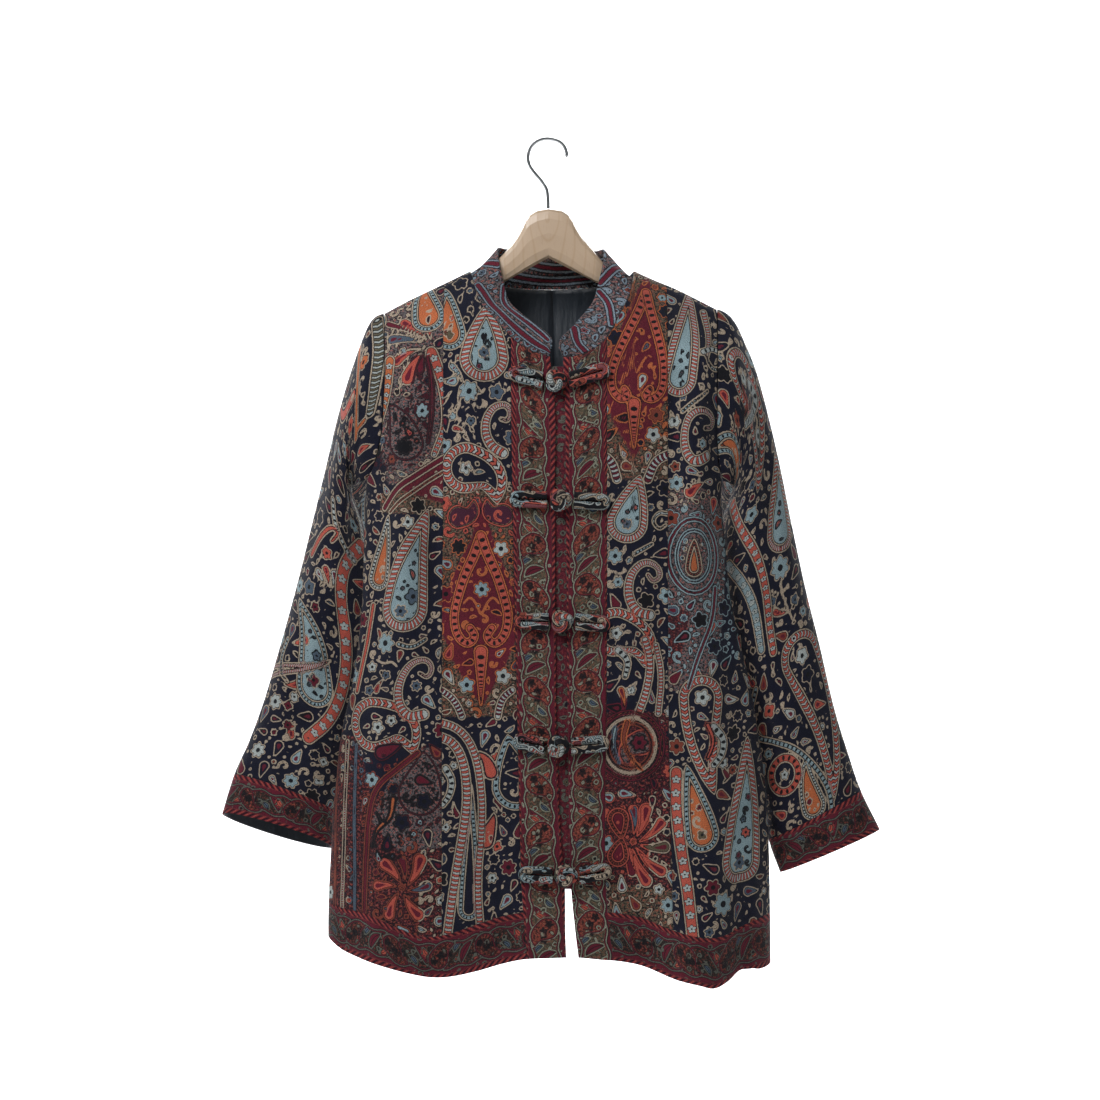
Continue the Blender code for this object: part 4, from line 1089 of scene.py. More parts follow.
# Meshes.
def shell(name, cloth, thickness, material, inner_material, pick=4, wrap=False):
    """Closed thin wall: the fine outer face, its edges and a plainer inner face."""
    outer = cloth.points
    rows, columns = outer.shape[:2]
    inner = outer - cloth.normals * thickness
    row_picks = sorted(set(range(0, rows, pick)) | {rows - 1})
    if wrap:
        column_picks = list(range(0, columns, pick if columns % pick == 0 else 1))
    else:
        column_picks = sorted(set(range(0, columns, pick)) | {columns - 1})
    base = rows * columns
    points = np.concatenate([outer.reshape(-1, 3), inner[np.ix_(row_picks, column_picks)].reshape(-1, 3)])
    facing = np.cross(outer[1, 1] - outer[1, 0], outer[1, 0] - outer[0, 0])
    flip = np.dot(facing, cloth.normals[1, 0]) > 0
    spans = columns if wrap else columns - 1
    row_index, column_index = np.meshgrid(np.arange(rows - 1), np.arange(spans), indexing="ij")
    a = row_index * columns + column_index
    b = row_index * columns + (column_index + 1) % columns
    quads = np.stack([a, b, b + columns, a + columns], axis=-1).reshape(-1, 4)
    faces = quads.tolist()
    outer_count = len(faces)
    short = len(column_picks)
    inner_spans = short if wrap else short - 1
    for r in range(len(row_picks) - 1):
        for c in range(inner_spans):
            after = (c + 1) % short
            faces.append([
                base + r * short + c, base + (r + 1) * short + c,
                base + (r + 1) * short + after, base + r * short + after,
            ])
    for row, place, turned in ((0, 0, False), (rows - 1, len(row_picks) - 1, True)):
        for c in range(inner_spans):
            after = (c + 1) % short
            low = column_picks[c]
            high = column_picks[after] if after else columns
            run = [row * columns + k % columns for k in range(low, high + 1)]
            face = run[::-1] + [base + place * short + c, base + place * short + after]
            faces.append(face[::-1] if turned else face)
    if not wrap:
        for column, place, turned in ((0, 0, True), (columns - 1, short - 1, False)):
            for r in range(len(row_picks) - 1):
                run = [k * columns + column for k in range(row_picks[r], row_picks[r + 1] + 1)]
                face = run[::-1] + [base + r * short + place, base + (r + 1) * short + place]
                faces.append(face[::-1] if turned else face)
    if not flip:
        faces = [face[::-1] for face in faces]
    mesh = bpy.data.meshes.new(name)
    mesh.from_pydata((points * MM).tolist(), [], faces)
    mesh.materials.append(material)
    mesh.materials.append(inner_material)
    slots = np.zeros(len(faces), dtype=np.int32)
    slots[outer_count:outer_count + (len(row_picks) - 1) * inner_spans] = 1
    mesh.polygons.foreach_set("material_index", slots)
    mesh.polygons.foreach_set("use_smooth", np.ones(len(faces), dtype=bool))
    picked = np.arange(base).reshape(rows, columns)[np.ix_(row_picks, column_picks)].ravel()

    def give(label, kind, key, values):
        flat = np.concatenate([values, values[picked]]).astype(np.float32)
        mesh.attributes.new(label, kind, "POINT").data.foreach_set(key, flat.ravel())

    give("place", "FLOAT_VECTOR", "vector", np.column_stack([cloth.spots * MM, np.zeros(base)]))
    give("large", "FLOAT_VECTOR", "vector", cloth.large)
    give("small", "FLOAT_VECTOR", "vector", cloth.small)
    give("style", "FLOAT_VECTOR", "vector", cloth.style)
    for label, values in cloth.inks.items():
        give(label, "FLOAT_COLOR", "color", values)
    mesh.validate()
    piece = bpy.data.objects.new(name, mesh)
    bpy.context.collection.objects.link(piece)
    return piece

# Materials.
class Number:
    """A number inside a material, with arithmetic that adds its nodes."""

    def __init__(self, tree, socket):
        self.tree = tree
        self.socket = socket

    def node(self, operation, *others, clamp=False):
        node = self.tree.nodes.new("ShaderNodeMath")
        node.operation = operation
        node.use_clamp = clamp
        for place, item in enumerate((self,) + others):
            if isinstance(item, Number):
                self.tree.links.new(item.socket, node.inputs[place])
            else:
                node.inputs[place].default_value = item
        return Number(self.tree, node.outputs[0])

    def __add__(self, other):
        return self.node("ADD", other)

    __radd__ = __add__

    def __mul__(self, other):
        return self.node("MULTIPLY", other)

    __rmul__ = __mul__

    def __sub__(self, other):
        return self.node("SUBTRACT", other)

    def __rsub__(self, other):
        return (self * -1.0).node("ADD", other)

    def __truediv__(self, other):
        return self.node("DIVIDE", other)

    def ramp(self, low, high):
        """Rises from 0 at low to 1 at high."""
        node = self.tree.nodes.new("ShaderNodeMapRange")
        self.tree.links.new(self.socket, node.inputs["Value"])
        for name, item in (("From Min", low), ("From Max", high)):
            if isinstance(item, Number):
                self.tree.links.new(item.socket, node.inputs[name])
            else:
                node.inputs[name].default_value = item
        return Number(self.tree, node.outputs["Result"])

    def within(self, low, high, soft=0.25):
        """Is 1 between low and high, with soft limits."""
        return self.ramp(low - soft, low + soft) * (1.0 - self.ramp(high - soft, high + soft))

    def below(self, limit, soft=0.25):
        return 1.0 - self.ramp(limit - soft, limit + soft)

    def over(self, limit, soft=0.25):
        return self.ramp(limit - soft, limit + soft)

    def wave(self):
        """Triangle wave between -1 and 1 with a period of 1."""
        return (self.node("FRACT") - 0.5).node("ABSOLUTE") * 4.0 - 1.0


class Colour:
    """A colour inside a material."""

    def __init__(self, tree, socket):
        self.tree = tree
        self.socket = socket

    def blend(self, other, share):
        """Moves towards another colour by a share."""
        node = self.tree.nodes.new("ShaderNodeMix")
        node.data_type = "RGBA"
        self.tree.links.new(share.socket, node.inputs[0])
        self.tree.links.new(self.socket, node.inputs[6])
        if isinstance(other, Colour):
            self.tree.links.new(other.socket, node.inputs[7])
        else:
            node.inputs[7].default_value = tuple(other)[:3] + (1.0,)
        return Colour(self.tree, node.outputs[2])

    def times(self, number):
        """Scales the colour by a number."""
        node = self.tree.nodes.new("ShaderNodeVectorMath")
        node.operation = "SCALE"
        self.tree.links.new(self.socket, node.inputs[0])
        self.tree.links.new(number.socket, node.inputs["Scale"])
        return Colour(self.tree, node.outputs[0])


class Painter:
    """A material's node tree with short ways to read the piece's attributes."""

    def __init__(self, name):
        self.material = bpy.data.materials.new(name)
        self.material.use_nodes = True
        self.tree = self.material.node_tree
        self.shader = self.tree.nodes["Principled BSDF"]

    def attribute(self, name):
        node = self.tree.nodes.new("ShaderNodeAttribute")
        node.attribute_name = name
        return node

    def parts(self, vector):
        """The three numbers of a vector."""
        split_up = self.tree.nodes.new("ShaderNodeSeparateXYZ")
        self.tree.links.new(vector, split_up.inputs[0])
        return [Number(self.tree, split_up.outputs[k]) for k in range(3)]

    def numbers(self, name):
        """The three numbers of a vector attribute."""
        return self.parts(self.attribute(name).outputs["Vector"])

    def colour(self, name):
        """A colour attribute and its alpha."""
        node = self.attribute(name)
        return Colour(self.tree, node.outputs["Color"]), Number(self.tree, node.outputs["Alpha"])

    def vector(self, x, y, z=0.0):
        node = self.tree.nodes.new("ShaderNodeCombineXYZ")
        for place, item in enumerate((x, y, z)):
            if isinstance(item, Number):
                self.tree.links.new(item.socket, node.inputs[place])
            else:
                node.inputs[place].default_value = item
        return node.outputs[0]

    def noise(self, vector, scale, detail=1.0, roughness=0.5):
        node = self.tree.nodes.new("ShaderNodeTexNoise")
        if vector is not None:
            self.tree.links.new(vector, node.inputs["Vector"])
        node.inputs["Scale"].default_value = scale
        node.inputs["Detail"].default_value = detail
        node.inputs["Roughness"].default_value = roughness
        return Number(self.tree, node.outputs["Fac"])

    def object_place(self):
        node = self.tree.nodes.new("ShaderNodeTexCoord")
        return node.outputs["Object"]

    def flat_colour(self, colour):
        node = self.tree.nodes.new("ShaderNodeRGB")
        node.outputs[0].default_value = tuple(colour) + (1.0,)
        return node.outputs[0]

    def set(self, name, value):
        if isinstance(value, (Number, Colour)):
            self.tree.links.new(value.socket, self.shader.inputs[name])
        else:
            self.shader.inputs[name].default_value = value

    def bump(self, height, distance, strength=1.0):
        node = self.tree.nodes.new("ShaderNodeBump")
        node.inputs["Strength"].default_value = strength
        node.inputs["Distance"].default_value = distance
        self.tree.links.new(height.socket, node.inputs["Height"])
        self.tree.links.new(node.outputs[0], self.shader.inputs["Normal"])


def cloth_material(name):
    """Woven patterned cloth that reads its shapes and yarn colours from the piece."""
    paint = Painter(name)
    u, v, _ = paint.numbers("place")
    u = u * 1000.0
    v = v * 1000.0
    wobble = paint.noise(paint.vector(u, v), 0.45, 2.0) - 0.5
    pick = paint.noise(paint.vector(u * 1.1, v * 2.0), 0.55, 2.0, 0.7)
    second = paint.noise(paint.vector(u * 0.9 + 37.0, v * 0.9), 0.42, 1.0)
    broad = paint.noise(paint.vector(u, v), 0.022, 2.0)
    d1, t1, width = paint.numbers("large")
    d2, t2, size = paint.numbers("small")
    band_style, small_style, rope = paint.numbers("style")
    d1 = d1 + wobble * 1.1
    d2 = d2 + wobble * 0.9
    ground, mottle = paint.colour("ground")
    band, _ = paint.colour("band")
    field, field_mottle = paint.colour("field")
    edge, _ = paint.colour("edge")
    fill, dark_line = paint.colour("fill")
    black = YARNS["black"]

    # Ground and inner fields, with yarns of other colours showing through them.
    is_strip = band_style.over(STRIP - 0.5, 0.1)
    band_style = band_style - is_strip * STRIP
    rim = (width + is_strip * FAR) * -1.0
    in_field = d1.below(rim - 3.0)
    colour = ground.blend(field, in_field)
    mottle = mottle + (field_mottle - mottle) * in_field
    colour = colour.blend(YARNS["cream"], pick.over(0.61, 0.03) * mottle * 0.40)
    colour = colour.blend(YARNS["coral"], second.over(0.59, 0.03) * mottle * 0.55)
    colour = colour.blend(black, second.below(0.44, 0.03) * mottle * 0.92)
    colour = colour.blend(YARNS["wine"], pick.below(0.43, 0.03) * mottle * 0.8)

    # Small shapes on the ground and on the fields.
    free = d1.over(0.8) + d1.below(rim - 3.4)
    line_small = d2.within(-1.3, 0.0, 0.2)
    colour = colour.blend(black, d2.within(0.0, 0.7) * free * mottle)
    colour = colour.blend(edge, line_small * free * (1.0 - dark_line))
    colour = colour.blend(black, line_small * free * dark_line)
    colour = colour.blend(black, d2.within(-1.9, -1.3, 0.2) * free)
    colour = colour.blend(fill, d2.below(-1.9, 0.2) * free)
    is_flower = small_style.within(0.6, 1.4, 0.1)
    is_leaf = small_style.within(1.6, 2.4, 0.1)
    is_drop = small_style.over(2.5, 0.1)
    heart = t2.below(size * 0.26) * is_flower
    vein = t2.node("ABSOLUTE").below(0.35, 0.2) * is_leaf
    core = d2.below(size * -0.62) * is_drop
    marks = (heart + vein) * d2.below(-1.9) * free
    colour = colour.blend(black, marks)
    colour = colour.blend(YARNS["maroon"], core * d2.below(-1.9) * free)

    # Bands of a large shape.
    in_band = d1.within(rim, -2.0)
    outline = d1.within(-1.3, 0.0, 0.2)
    colour = colour.blend(black, d1.within(0.0, 0.8, 0.2))
    colour = colour.blend(band, in_band)
    middle_band = (d1 + (width + 2.0) * 0.5) / (width * 0.5)
    middle_strip = (d1 + width) / width
    middle = middle_band + (middle_strip - middle_band) * is_strip
    across = middle.node("ABSOLUTE")
    pitch = width * (is_strip * 0.45 + 0.62)
    step = t1 / pitch
    bead_u = (t1 / (width * (is_strip * 0.55 + 0.95))).node("FRACT") * 2.0 - 1.0
    bead = middle * middle * 2.2 + bead_u * bead_u * 2.6
    is_beads = band_style.within(0.6, 1.4, 0.1) * in_band
    is_ticks = band_style.within(1.6, 2.4, 0.1) * in_band
    is_florets = band_style.within(2.6, 3.4, 0.1) * in_band
    is_chevrons = band_style.within(3.6, 4.4, 0.1) * in_band
    colour = colour.blend(black, bead.below(0.6, 0.15) * is_beads)
    tick = (step * 1.15 + middle * 0.22).wave()
    colour = colour.blend(YARNS["pale"], tick.over(0.15, 0.15) * across.below(0.75, 0.1) * is_ticks)
    colour = colour.blend(black, tick.within(-0.4, 0.15, 0.12) * across.below(0.8, 0.1) * is_ticks)
    reach = width * (is_strip * 0.38 + 0.47)
    petal_u = ((t1 / (reach * 2.4)).node("FRACT") - 0.5) * reach * 2.4
    petal_v = middle * reach
    petal_r = (petal_u * petal_u + petal_v * petal_v).node("SQRT")
    petal_a = petal_v.node("ARCTAN2", petal_u)
    petal_rim = (petal_a * 2.5).node("SINE").node("ABSOLUTE") * reach * 0.34 + reach * 0.34
    petal_d = petal_r - petal_rim
    colour = colour.blend(black, petal_d.below(0.8, 0.2) * is_florets)
    colour = colour.blend(YARNS["pale"], petal_d.below(0.0, 0.2) * is_florets)
    colour = colour.blend(black, petal_r.below(1.0) * is_florets)
    chevron = (step * 0.9 + across * 0.45).wave()
    colour = colour.blend(YARNS["pale"], chevron.over(0.35, 0.15) * is_chevrons)
    colour = colour.blend(black, chevron.within(-0.3, 0.35, 0.1) * is_chevrons)
    colour = colour.blend(black, d1.within(-2.0, -1.3, 0.2))
    colour = colour.blend(edge, outline)
    has_band = width.over(1.0, 0.2) * (1.0 - is_strip)
    colour = colour.blend(black, d1.within(rim - 3.0, rim) * has_band)
    colour = colour.blend(edge, d1.within(rim - 2.1, rim - 0.9, 0.2) * has_band)

    # Twill of the rope edges, slanting the other way on the other edge.
    twill = (u * 0.13 + v * rope * 0.16).wave()
    roped = rope.node("ABSOLUTE").over(0.5, 0.1)
    colour = colour.blend(YARNS["maroon"], roped)
    colour = colour.blend(YARNS["coral"], roped * twill.over(0.35, 0.2) * pick.over(0.42, 0.05) * 0.75)
    colour = colour.blend(black, roped * twill.below(-0.45, 0.15) * 0.9)

    # Yarns: uneven stitches, slow fading and the weave's own shade.
    stitch = paint.noise(paint.vector(u * 0.8, v * 1.7), 1.0, 2.0, 0.8)
    colour = colour.times(stitch.ramp(0.30, 0.72) * 1.25 + 0.12)
    colour = colour.times(broad * 0.7 + 0.65)
    paint.set("Base Color", colour)
    paint.set("Roughness", stitch * -0.25 + 0.98)
    paint.set("Sheen Weight", 0.06)
    paint.set("Sheen Roughness", 0.5)
    paint.set("Specular IOR Level", 0.2)
    raised = (outline + line_small) * 0.35 + stitch * 1.3 + roped * twill * 0.5
    paint.bump(raised, 0.0010, 0.9)
    return paint.material


ARCH_DROP = 0.085
ARCH_SPACING = 0.0105


def lining_material(name):
    """Dark satin with soft upright creases."""
    paint = Painter(name)
    place = paint.object_place()
    paint.set("Base Color", (0.012, 0.017, 0.024, 1.0))
    paint.set("Roughness", 0.36)
    paint.set("Sheen Weight", 0.15)
    paint.set("Specular IOR Level", 0.5)
    stretched = paint.tree.nodes.new("ShaderNodeMapping")
    paint.tree.links.new(place, stretched.inputs["Vector"])
    stretched.inputs["Scale"].default_value = (95.0, 95.0, 9.0)
    crease = paint.noise(stretched.outputs[0], 1.0, 2.0, 0.5)
    thread = paint.noise(place, 2600.0, 0.0)
    paint.bump(crease + thread * 0.06, 0.004, 0.8)
    return paint.material


def wood_material(name):
    """Pale beech with faint nested arches and short dark flecks."""
    paint = Painter(name)
    place = paint.object_place()
    x, _, z = paint.parts(place)
    bend = paint.noise(place, 14.0, 1.0) * 0.022
    high = (z + ARCH_DROP) * 0.34
    reach = (x * x + high * high).node("SQRT") + bend
    arches = (reach / ARCH_SPACING).wave()
    streak = paint.noise(paint.vector(x * 900.0, z * 60.0), 1.0, 3.0, 0.7)
    colour = Colour(paint.tree, paint.flat_colour((0.40, 0.290, 0.195)))
    colour = colour.blend((0.34, 0.225, 0.130), arches.over(0.72, 0.25) * 0.55)
    colour = colour.blend((0.27, 0.170, 0.095), streak.over(0.64, 0.05) * 0.30)
    colour = colour.times(paint.noise(place, 12.0, 2.0) * 0.22 + 0.89)
    paint.set("Base Color", colour)
    paint.set("Roughness", streak * 0.2 + 0.34)
    paint.set("Coat Weight", 0.2)
    paint.set("Coat Roughness", 0.25)
    paint.bump(streak + arches * 0.1, 0.0002, 0.4)
    return paint.material


def steel_material(name):
    """Polished wire with faint scratches and smudges."""
    paint = Painter(name)
    place = paint.object_place()
    smudge = paint.noise(place, 180.0, 3.0)
    scratch = paint.noise(place, 1500.0, 2.0)
    colour = Colour(paint.tree, paint.flat_colour((0.62, 0.62, 0.63)))
    colour = colour.times(smudge * 0.3 + 0.82)
    paint.set("Base Color", colour)
    paint.set("Metallic", 1.0)
    paint.set("Roughness", smudge * 0.22 + 0.10)
    paint.bump(scratch, 0.00008, 0.4)
    return paint.material


CLOTH_PAINT = cloth_material("patterned_cloth")
LINING_PAINT = lining_material("satin_lining")
WOOD_PAINT = wood_material("oiled_beech")
STEEL_PAINT = steel_material("polished_steel")

def finish_piece(piece, nodes):
    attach(piece, "root")
    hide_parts(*nodes)


def measure(cloth, wrap=False):
    """Width, length and area of a cloth grid in metres."""
    points = cloth.points * MM
    if wrap:
        points = np.concatenate([points, points[:, :1]], axis=1)
    across = np.linalg.norm(np.diff(points, axis=1), axis=-1).sum(axis=1)
    down = np.linalg.norm(np.diff(points, axis=0), axis=-1).sum(axis=0)
    first = np.cross(points[1:, 1:] - points[:-1, :-1], points[1:, :-1] - points[:-1, 1:])
    area = np.linalg.norm(first, axis=-1).sum() / 2
    return float(across.max()), float(down.max()), float(area)


def add_cloth(name, cloth, wrap=False, thickness=CLOTH, inner=None, pick=4):
    """Builds and places one cloth piece over the solid of the same name."""
    piece = shell("cloth_" + name, cloth, thickness, CLOTH_PAINT, inner or LINING_PAINT, pick, wrap)
    width, length, area = measure(cloth, wrap)
    finish_piece(piece, [name])
    return piece


# Fronts.
LEFT_NECK_SHARES = (0.0, 0.2, 0.397, 0.47, 0.57, 0.71, 0.85, 1.0)
RIGHT_NECK_SHARES = (0.0, 0.14, 0.27, 0.37, 0.443, 0.63, 0.81, 1.0)
BACK_LEFT_SHARES = (0.0, 0.02, 0.08, 0.17, 0.28, 0.40, 0.518, 0.56, 0.64, 0.75, 0.87, 1.0)
BACK_RIGHT_SHARES = (0.0, 0.13, 0.25, 0.36, 0.458, 0.4985, 0.61, 0.73, 0.83, 0.92, 0.98, 1.0)
LOWER_LENGTH = 500.0


def fine_rows(rows, cell):
    counts = [ARMHOLE_STEPS] * ARMHOLE_ROWS + [round(LOWER_LENGTH / LOWER_ROWS / cell)] * LOWER_ROWS
    return split(rows, counts)


left_rows = fine_rows(panel_rows(left_side, front_top, above_border), CELL)
right_rows = fine_rows(panel_rows(right_side, front_top, above_border), CELL)
side_start = split(soft_start(6), counts_for(soft_start(6), 125.0, CELL))
side_end = split(soft_end(6), counts_for(soft_end(6), 125.0, CELL))
front_side_left = body_cloth(side_start, left_rows, (left_side, seam_line(0, -1), front_top, above_border), True)
front_side_right = body_cloth(side_end, right_rows, (seam_line(5, 1), right_side, front_top, above_border), True)
front_centre_left = body_cloth(
    split(LEFT_NECK_SHARES, counts_for(LEFT_NECK_SHARES, 82.0, CELL)), left_rows,
    (seam_line(0, 1), seam_line(1, -1), front_top, above_border), True,
)
front_centre_right = body_cloth(
    split(RIGHT_NECK_SHARES, counts_for(RIGHT_NECK_SHARES, 72.0, CELL)), right_rows,
    (seam_line(4, 1), seam_line(5, -1), front_top, above_border), True,
)
band_rows = split(even(16), [25] * 16)
front_band_left = body_cloth(even(28), band_rows, (seam_line(1, 1), seam_line(2, 0), front_top, front_hem), True)
front_band_right = body_cloth(even(28), band_rows, (seam_line(3, 0), seam_line(4, -1), front_top, front_hem), True)
hem_border_front_left = body_cloth(
    split(soft_start(6), [n * 2 for n in counts_for(soft_start(6), 100.0, CELL)]), even(26),
    (left_side, seam_line(1, 1), below_border, front_hem), True,
)
hem_border_front_right = body_cloth(
    split(soft_end(6), [n * 2 for n in counts_for(soft_end(6), 100.0, CELL)]), even(26),
    (seam_line(4, -1), right_side, below_border, front_hem), True,
)

# Back.
back_left_rows = fine_rows(panel_rows(left_side, back_top, above_back_border), BACK_CELL)
back_right_rows = fine_rows(panel_rows(right_side, back_top, above_back_border), BACK_CELL)
back_left_columns = split(BACK_LEFT_SHARES, counts_for(BACK_LEFT_SHARES, 240.0, BACK_CELL))
back_right_columns = split(BACK_RIGHT_SHARES, counts_for(BACK_RIGHT_SHARES, 240.0, BACK_CELL))
back_left_lines = (left_side, vent_line(1, -1), back_top, above_back_border)
back_right_lines = (vent_line(2, 1), right_side, back_top, above_back_border)
back_left = body_cloth(back_left_columns, back_left_rows, back_left_lines, False)
back_right = body_cloth(back_right_columns, back_right_rows, back_right_lines, False)
hem_border_back_left = body_cloth(
    back_left_columns, even(24), (left_side, vent_line(1, -1), below_back_border, back_hem), False,
)
hem_border_back_right = body_cloth(
    back_right_columns, even(24), (vent_line(2, 1), right_side, below_back_border, back_hem), False,
)
lining_left_lines = (left_side, vent_line(1, 4), back_top, above_back_border)
lining_left = body_cloth(back_left_columns[::2], back_left_rows[::3], lining_left_lines, False, CLOTH + SEAM_GAP * 1.5)
lining_right = body_cloth(back_right_columns[::2], back_right_rows[::3], back_right_lines, False, CLOTH + SEAM_GAP)


UNDERLAP_HALF_WIDTH = 13.0
UNDERLAP_DEPTH = 2.8
UNDERLAP_CLOTH = 1.5


def underlap_left(drop):
    middle = (look_up(SEAM_CURVES[2], drop) + look_up(SEAM_CURVES[3], drop)) / 2
    return middle - UNDERLAP_HALF_WIDTH


def underlap_right(drop):
    middle = (look_up(SEAM_CURVES[2], drop) + look_up(SEAM_CURVES[3], drop)) / 2
    return middle + UNDERLAP_HALF_WIDTH


def underlap_top(x):
    return np.full_like(x, 250.8)


def underlap_bottom(x):
    return np.full_like(x, 816.4)
underlap = body_cloth(
    even(16), split(even(14), [24] * 14),
    (underlap_left, underlap_right, underlap_top, underlap_bottom), True, UNDERLAP_DEPTH,
)


# Sleeves.
def fine_sleeve(side, table, folds, front, back, column):
    """Sleeve and cuff cloths of one side."""
    outward = -1.0 if side == "left" else 1.0
    steps = ARMHOLE_STEPS * ARMHOLE_ROWS
    angles = np.arange(2 * steps) * math.pi / steps
    loop = np.concatenate([front.points[:steps + 1, column], back.points[steps - 1:0:-1, column]])
    loop[:, 0] += outward * SLEEVE_SHIFT * 1.6
    loop[:, 2] += SLEEVE_SHIFT * np.maximum(-np.cos(angles), 0.0)
    loop[0, 1] = 0.0
    loop[steps, 1] = look_up(SIDE_Y, UNDERARM_DROP)
    stations = np.concatenate([
        np.linspace(0, 3, 40, endpoint=False), np.linspace(3, 11, 180), [11.0 + SEAM_GAP / 40],
        np.linspace(11.0 + SEAM_GAP / 40, 12, 26)[1:],
    ])
    points, normals = sleeve_ring(table, folds, stations, angles, loop, -outward)
    cut = 220
    places = ring_places(points)
    sleeve = Cloth(points[:cut], normals[:cut], places[:cut])
    cuff = Cloth(points[cut:], normals[cut:], places[cut:])
    return sleeve, cuff


sleeve_left, cuff_left = fine_sleeve("left", LEFT_SLEEVE, LEFT_SLEEVE_FOLDS, front_side_left, back_left, 0)
sleeve_right, cuff_right = fine_sleeve("right", RIGHT_SLEEVE, RIGHT_SLEEVE_FOLDS, front_side_right, back_right, -1)


# Collar.
def fine_collar():
    """Collar cloth from the neck points of the fronts and the back."""
    def index(shares, span, cell, place):
        return sum(counts_for(shares, span, cell)[:place])

    left_start = index(LEFT_NECK_SHARES, 82.0, CELL, 6)
    left_end = index(LEFT_NECK_SHARES, 82.0, CELL, 2)
    right_start = index(RIGHT_NECK_SHARES, 72.0, CELL, 1)
    right_end = index(RIGHT_NECK_SHARES, 72.0, CELL, 4)
    back_start = index(BACK_LEFT_SHARES, 240.0, BACK_CELL, 7)
    back_end = index(BACK_RIGHT_SHARES, 240.0, BACK_CELL, 4)
    runs = []
    for kind in ("points", "normals"):
        runs.append(np.concatenate([
            getattr(front_band_left, kind)[0, ::-1],
            getattr(front_centre_left, kind)[0, left_start:left_end - 1:-1],
            getattr(back_left, kind)[0, back_start:],
            getattr(back_right, kind)[0, 1:back_end + 1],
            getattr(front_centre_right, kind)[0, right_end:right_start - 1:-1],
            getattr(front_band_right, kind)[0, ::-1],
        ]))
    seam, seam_normals = runs
    steps = np.linalg.norm(np.diff(seam, axis=0), axis=1)
    shares = np.concatenate([[0.0], np.cumsum(steps)]) / steps.sum()
    spaced = np.linspace(0, 1, 300)
    seam = np.stack([np.interp(spaced, shares, seam[:, k]) for k in range(3)], axis=-1)
    seam_normals = np.stack([np.interp(spaced, shares, seam_normals[:, k]) for k in range(3)], axis=-1)
    top_edge = np.stack([
        look_up(read_column(COLLAR_TOP, 1), spaced),
        look_up(read_column(COLLAR_TOP, 3), spaced),
        -look_up(read_column(COLLAR_TOP, 2), spaced),
    ], axis=-1)
    rise = top_edge - seam
    start = seam + rise / np.linalg.norm(rise, axis=1, keepdims=True) * COLLAR_GAP
    points = np.stack([start + (top_edge - start) * share for share in even(26)])
    normals = grid_normals(points)
    normals *= np.sign(np.sum(normals * (points - points.mean(axis=(0, 1))), axis=-1).sum())
    blend = np.clip(np.linspace(0, 3, 27), 0, 1)[:, None, None]
    normals = seam_normals[None] * (1 - blend) + normals * blend
    normals /= np.linalg.norm(normals, axis=-1, keepdims=True)
    along = np.concatenate([[0.0], np.cumsum(np.linalg.norm(np.diff(points[13], axis=0), axis=1))])
    up = np.concatenate([[0.0], np.cumsum(np.linalg.norm(np.diff(points.mean(axis=1), axis=0), axis=1))])
    place = np.stack(np.meshgrid(along, up), axis=-1)
    return Cloth(points, normals, place)


collar = fine_collar()


CIRCLE = "circle"

